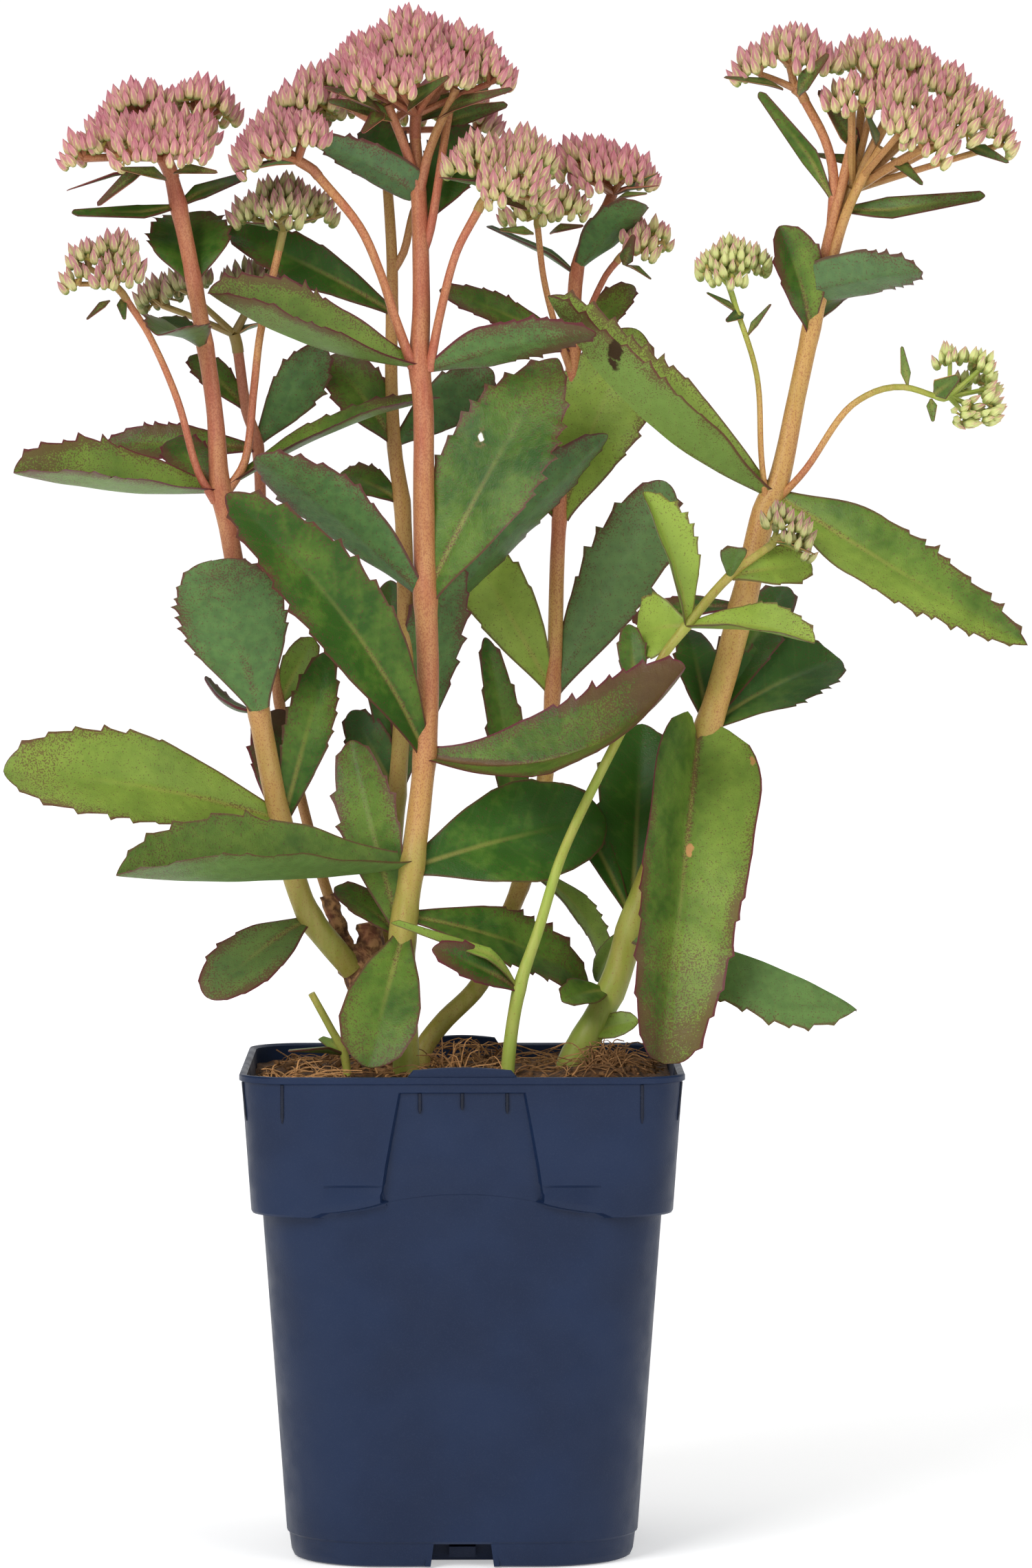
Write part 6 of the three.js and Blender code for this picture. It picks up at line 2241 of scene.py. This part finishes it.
    def inside(self, x: float, y: float, margin: float) -> bool:
        """Tells whether a place is clear of the pot's wall.

        Args:
            x: The place to the right.
            y: The place to the back.
            margin: How far clear of the wall.

        Returns:
            Whether it is on the mound.
        """
        limit = self.half - margin
        over_x, over_y = abs(x) - (limit - self.corner), abs(y) - (limit - self.corner)
        if over_x > 0 and over_y > 0:
            return math.hypot(over_x, over_y) < self.corner
        return abs(x) < limit and abs(y) < limit

    def fibre(self, shape: Shape, rng: random.Random) -> None:
        """Adds one coir fibre that lies on the mound or stands a little out of it.

        Args:
            shape: The mesh that it goes in.
            rng: The draw for its place and form.
        """
        x, y = rng.uniform(-60, 60), rng.uniform(-60, 60)
        heading = rng.uniform(0, 2 * math.pi)
        length = rng.uniform(8, 30) if rng.random() < 0.8 else rng.uniform(30, 60)
        lift = 0.0 if rng.random() < 0.6 else rng.uniform(0.5, 7)
        bend = rng.uniform(-0.16, 0.16)
        radius = rng.uniform(0.13, 0.36)
        steps = 7
        path = []
        for k in range(steps + 1):
            if not self.inside(x, y, 1.0):
                break
            rise = lift * math.sin(math.pi * (k / steps) * 0.9)
            at = Vector((x, y, self.level(x, y) + 0.25 + rise))
            path.append((at, radius * (1 - 0.5 * k / steps)))
            heading += bend + rng.uniform(-0.12, 0.12)
            x += length / steps * math.cos(heading)
            y += length / steps * math.sin(heading)
        shade = 1 - 0.5 * smoothstep(0, 45, path[0][0].x) if path else 1
        if len(path) > 2:
            shape.tube(path, 4, Skin.MAIN, (shade * rng.uniform(0.3, 1), 0.8 * rng.random(), 0))

    def build(self, finishes: Finishes) -> None:
        """Makes the substrate's piece in the place of its node.

        Args:
            finishes: The materials.
        """
        shape = Shape()
        self.build_mound(shape)
        self.build_litter(shape)
        deliver(shape.finish("substrate_fill", [finishes.coir]), "substrate", "substrate")


@dataclass
class Crown:
    """The old rootstock that the left stems grow out of, with a dried stub and a cut stub."""

    parts: tuple[tuple[Station, ...], ...] = (
        (
            (-23, 122, -6, 4.8), (-24, 148, -6, 5), (-27, 164, -4, 6.2), (-31.5, 174, -2, 6.8),
            (-33, 180, -1, 4.5),
        ),
        ((-29, 170, 0, 4.6), (-28, 182, 0, 4), (-28.6, 187, 0, 3.6)),
        ((-34, 175, 0, 2.8), (-38, 186, 0.5, 2.6), (-41.2, 195.5, 1, 2.7)),
    )

    def build(self, finishes: Finishes) -> None:
        """Makes the crown's piece in the place of its node.

        Args:
            finishes: The materials.
        """
        shape = Shape()
        for stations in self.parts:
            path = smooth_path([(place(s), s[3]) for s in stations], 1.6)
            lumps = [1 + 0.16 * noise.noise(at / 3) + 0.08 * math.sin(at.z * 1.1) for at, _ in path]
            shape.tube([(at, radius * lump) for (at, radius), lump in zip(path, lumps)], 20)
        for vert in shape.mesh.verts:
            vert.co += Vector((0.5, 0.5, 0)) * noise.noise(vert.co / 1.8)
        deliver(shape.finish("crown_bark", [finishes.bark]), "wood", "crown")


# Studio


@dataclass
class Studio:
    """Pale floor, soft lights and the camera."""

    aim: Point = (16.0, -65.0, 236.0)
    lens: float = 158.1
    long_side: float = 36.0
    room: float = 0.3
    lights: tuple[tuple[Point, float, float], ...] = (
        ((-900.0, -1500.0, 1300.0), 900.0, 25.0),
        ((1100.0, -1400.0, 800.0), 900.0, 7.0),
        ((100.0, -100.0, 1900.0), 1000.0, 8.0),
    )

    def build(self) -> None:
        """Makes the floor, the lights, the surroundings and the camera."""
        scene = bpy.context.scene
        scene.view_settings.view_transform = "Standard"
        floor = bmesh.new()
        bmesh.ops.create_grid(floor, x_segments=1, y_segments=1, size=6)
        data = bpy.data.meshes.new("floor")
        floor.to_mesh(data)
        floor.free()
        sketch = Sketch("pale studio floor")
        where = sketch.add("ShaderNodeTexCoord").outputs["Object"]
        away = sketch.add("ShaderNodeVectorMath", {0: where}, operation="LENGTH").outputs["Value"]
        glow = sketch.fade(away, 0.3, 1.6, 0.42, 0.8)
        sketch.feed(sketch.shader, {"Base Color": linear("#f6f6f6"), "Roughness": 0.9})
        sketch.feed(sketch.shader, {"Emission Color": linear("#ffffff"), "Emission Strength": glow})
        data.materials.append(sketch.material)
        ground = bpy.data.objects.new("floor", data)
        ground.location = (0, 0, -0.0002)
        scene.collection.objects.link(ground)

        target = Vector((0, 0, 230)) * MM
        for index, (at, size, power) in enumerate(self.lights):
            lamp = bpy.data.lights.new(f"softbox_{index}", "AREA")
            lamp.energy = power
            lamp.size = size * MM
            holder = bpy.data.objects.new(lamp.name, lamp)
            holder.location = Vector(at) * MM
            holder.rotation_euler = (target - holder.location).to_track_quat("-Z", "Y").to_euler()
            scene.collection.objects.link(holder)

        scene.world = self.surroundings()

        eye = bpy.data.cameras.new("camera")
        eye.sensor_fit = "VERTICAL"
        eye.sensor_height = self.long_side
        eye.sensor_width = self.long_side
        eye.lens = self.lens
        holder = bpy.data.objects.new("camera", eye)
        holder.location = Vector((0, -EYE_DISTANCE, EYE_HEIGHT)) * MM
        look = Vector(self.aim) * MM - holder.location
        holder.rotation_euler = look.to_track_quat("-Z", "Y").to_euler()
        scene.collection.objects.link(holder)
        scene.camera = holder

    def surroundings(self) -> bpy.types.World:
        """Makes a white wall behind the plant that darkens to a dim room in front of it.

        Returns:
            The surroundings.
        """
        world = bpy.data.worlds.new("white wall and dim room")
        world.use_nodes = True
        tree = world.node_tree
        backdrop = tree.nodes["Background"]
        backdrop.inputs["Color"].default_value = linear("#ffffff")
        where = tree.nodes.new("ShaderNodeTexCoord")
        parts = tree.nodes.new("ShaderNodeSeparateXYZ")
        ramp = tree.nodes.new("ShaderNodeMapRange")
        ramp.interpolation_type = "SMOOTHSTEP"
        ramp.inputs["From Min"].default_value = 0.7
        ramp.inputs["From Max"].default_value = 0.96
        ramp.inputs["To Min"].default_value = self.room
        ramp.inputs["To Max"].default_value = 1.05
        tree.links.new(where.outputs["Generated"], parts.inputs[0])
        tree.links.new(parts.outputs["Y"], ramp.inputs["Value"])
        tree.links.new(ramp.outputs[0], backdrop.inputs["Strength"])
        return world


def main() -> None:
    """Builds the potted stonecrop and its studio."""
    logging.basicConfig(level=logging.INFO, format="%(name)s: %(message)s")
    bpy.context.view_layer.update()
    Studio().build()
    finishes = Finishes()
    Pot().build(finishes)
    Substrate().build(finishes)
    Crown().build(finishes)
    for seed, stem in enumerate(STEMS, FIRST_STEM_SEED):
        stem.build(finishes, random.Random(seed))
    pattern = BudPattern().build()
    for seed, head in enumerate(HEADS, FIRST_HEAD_SEED):
        head.build(pattern, finishes, random.Random(seed))


if __name__ == "__main__":
    main()
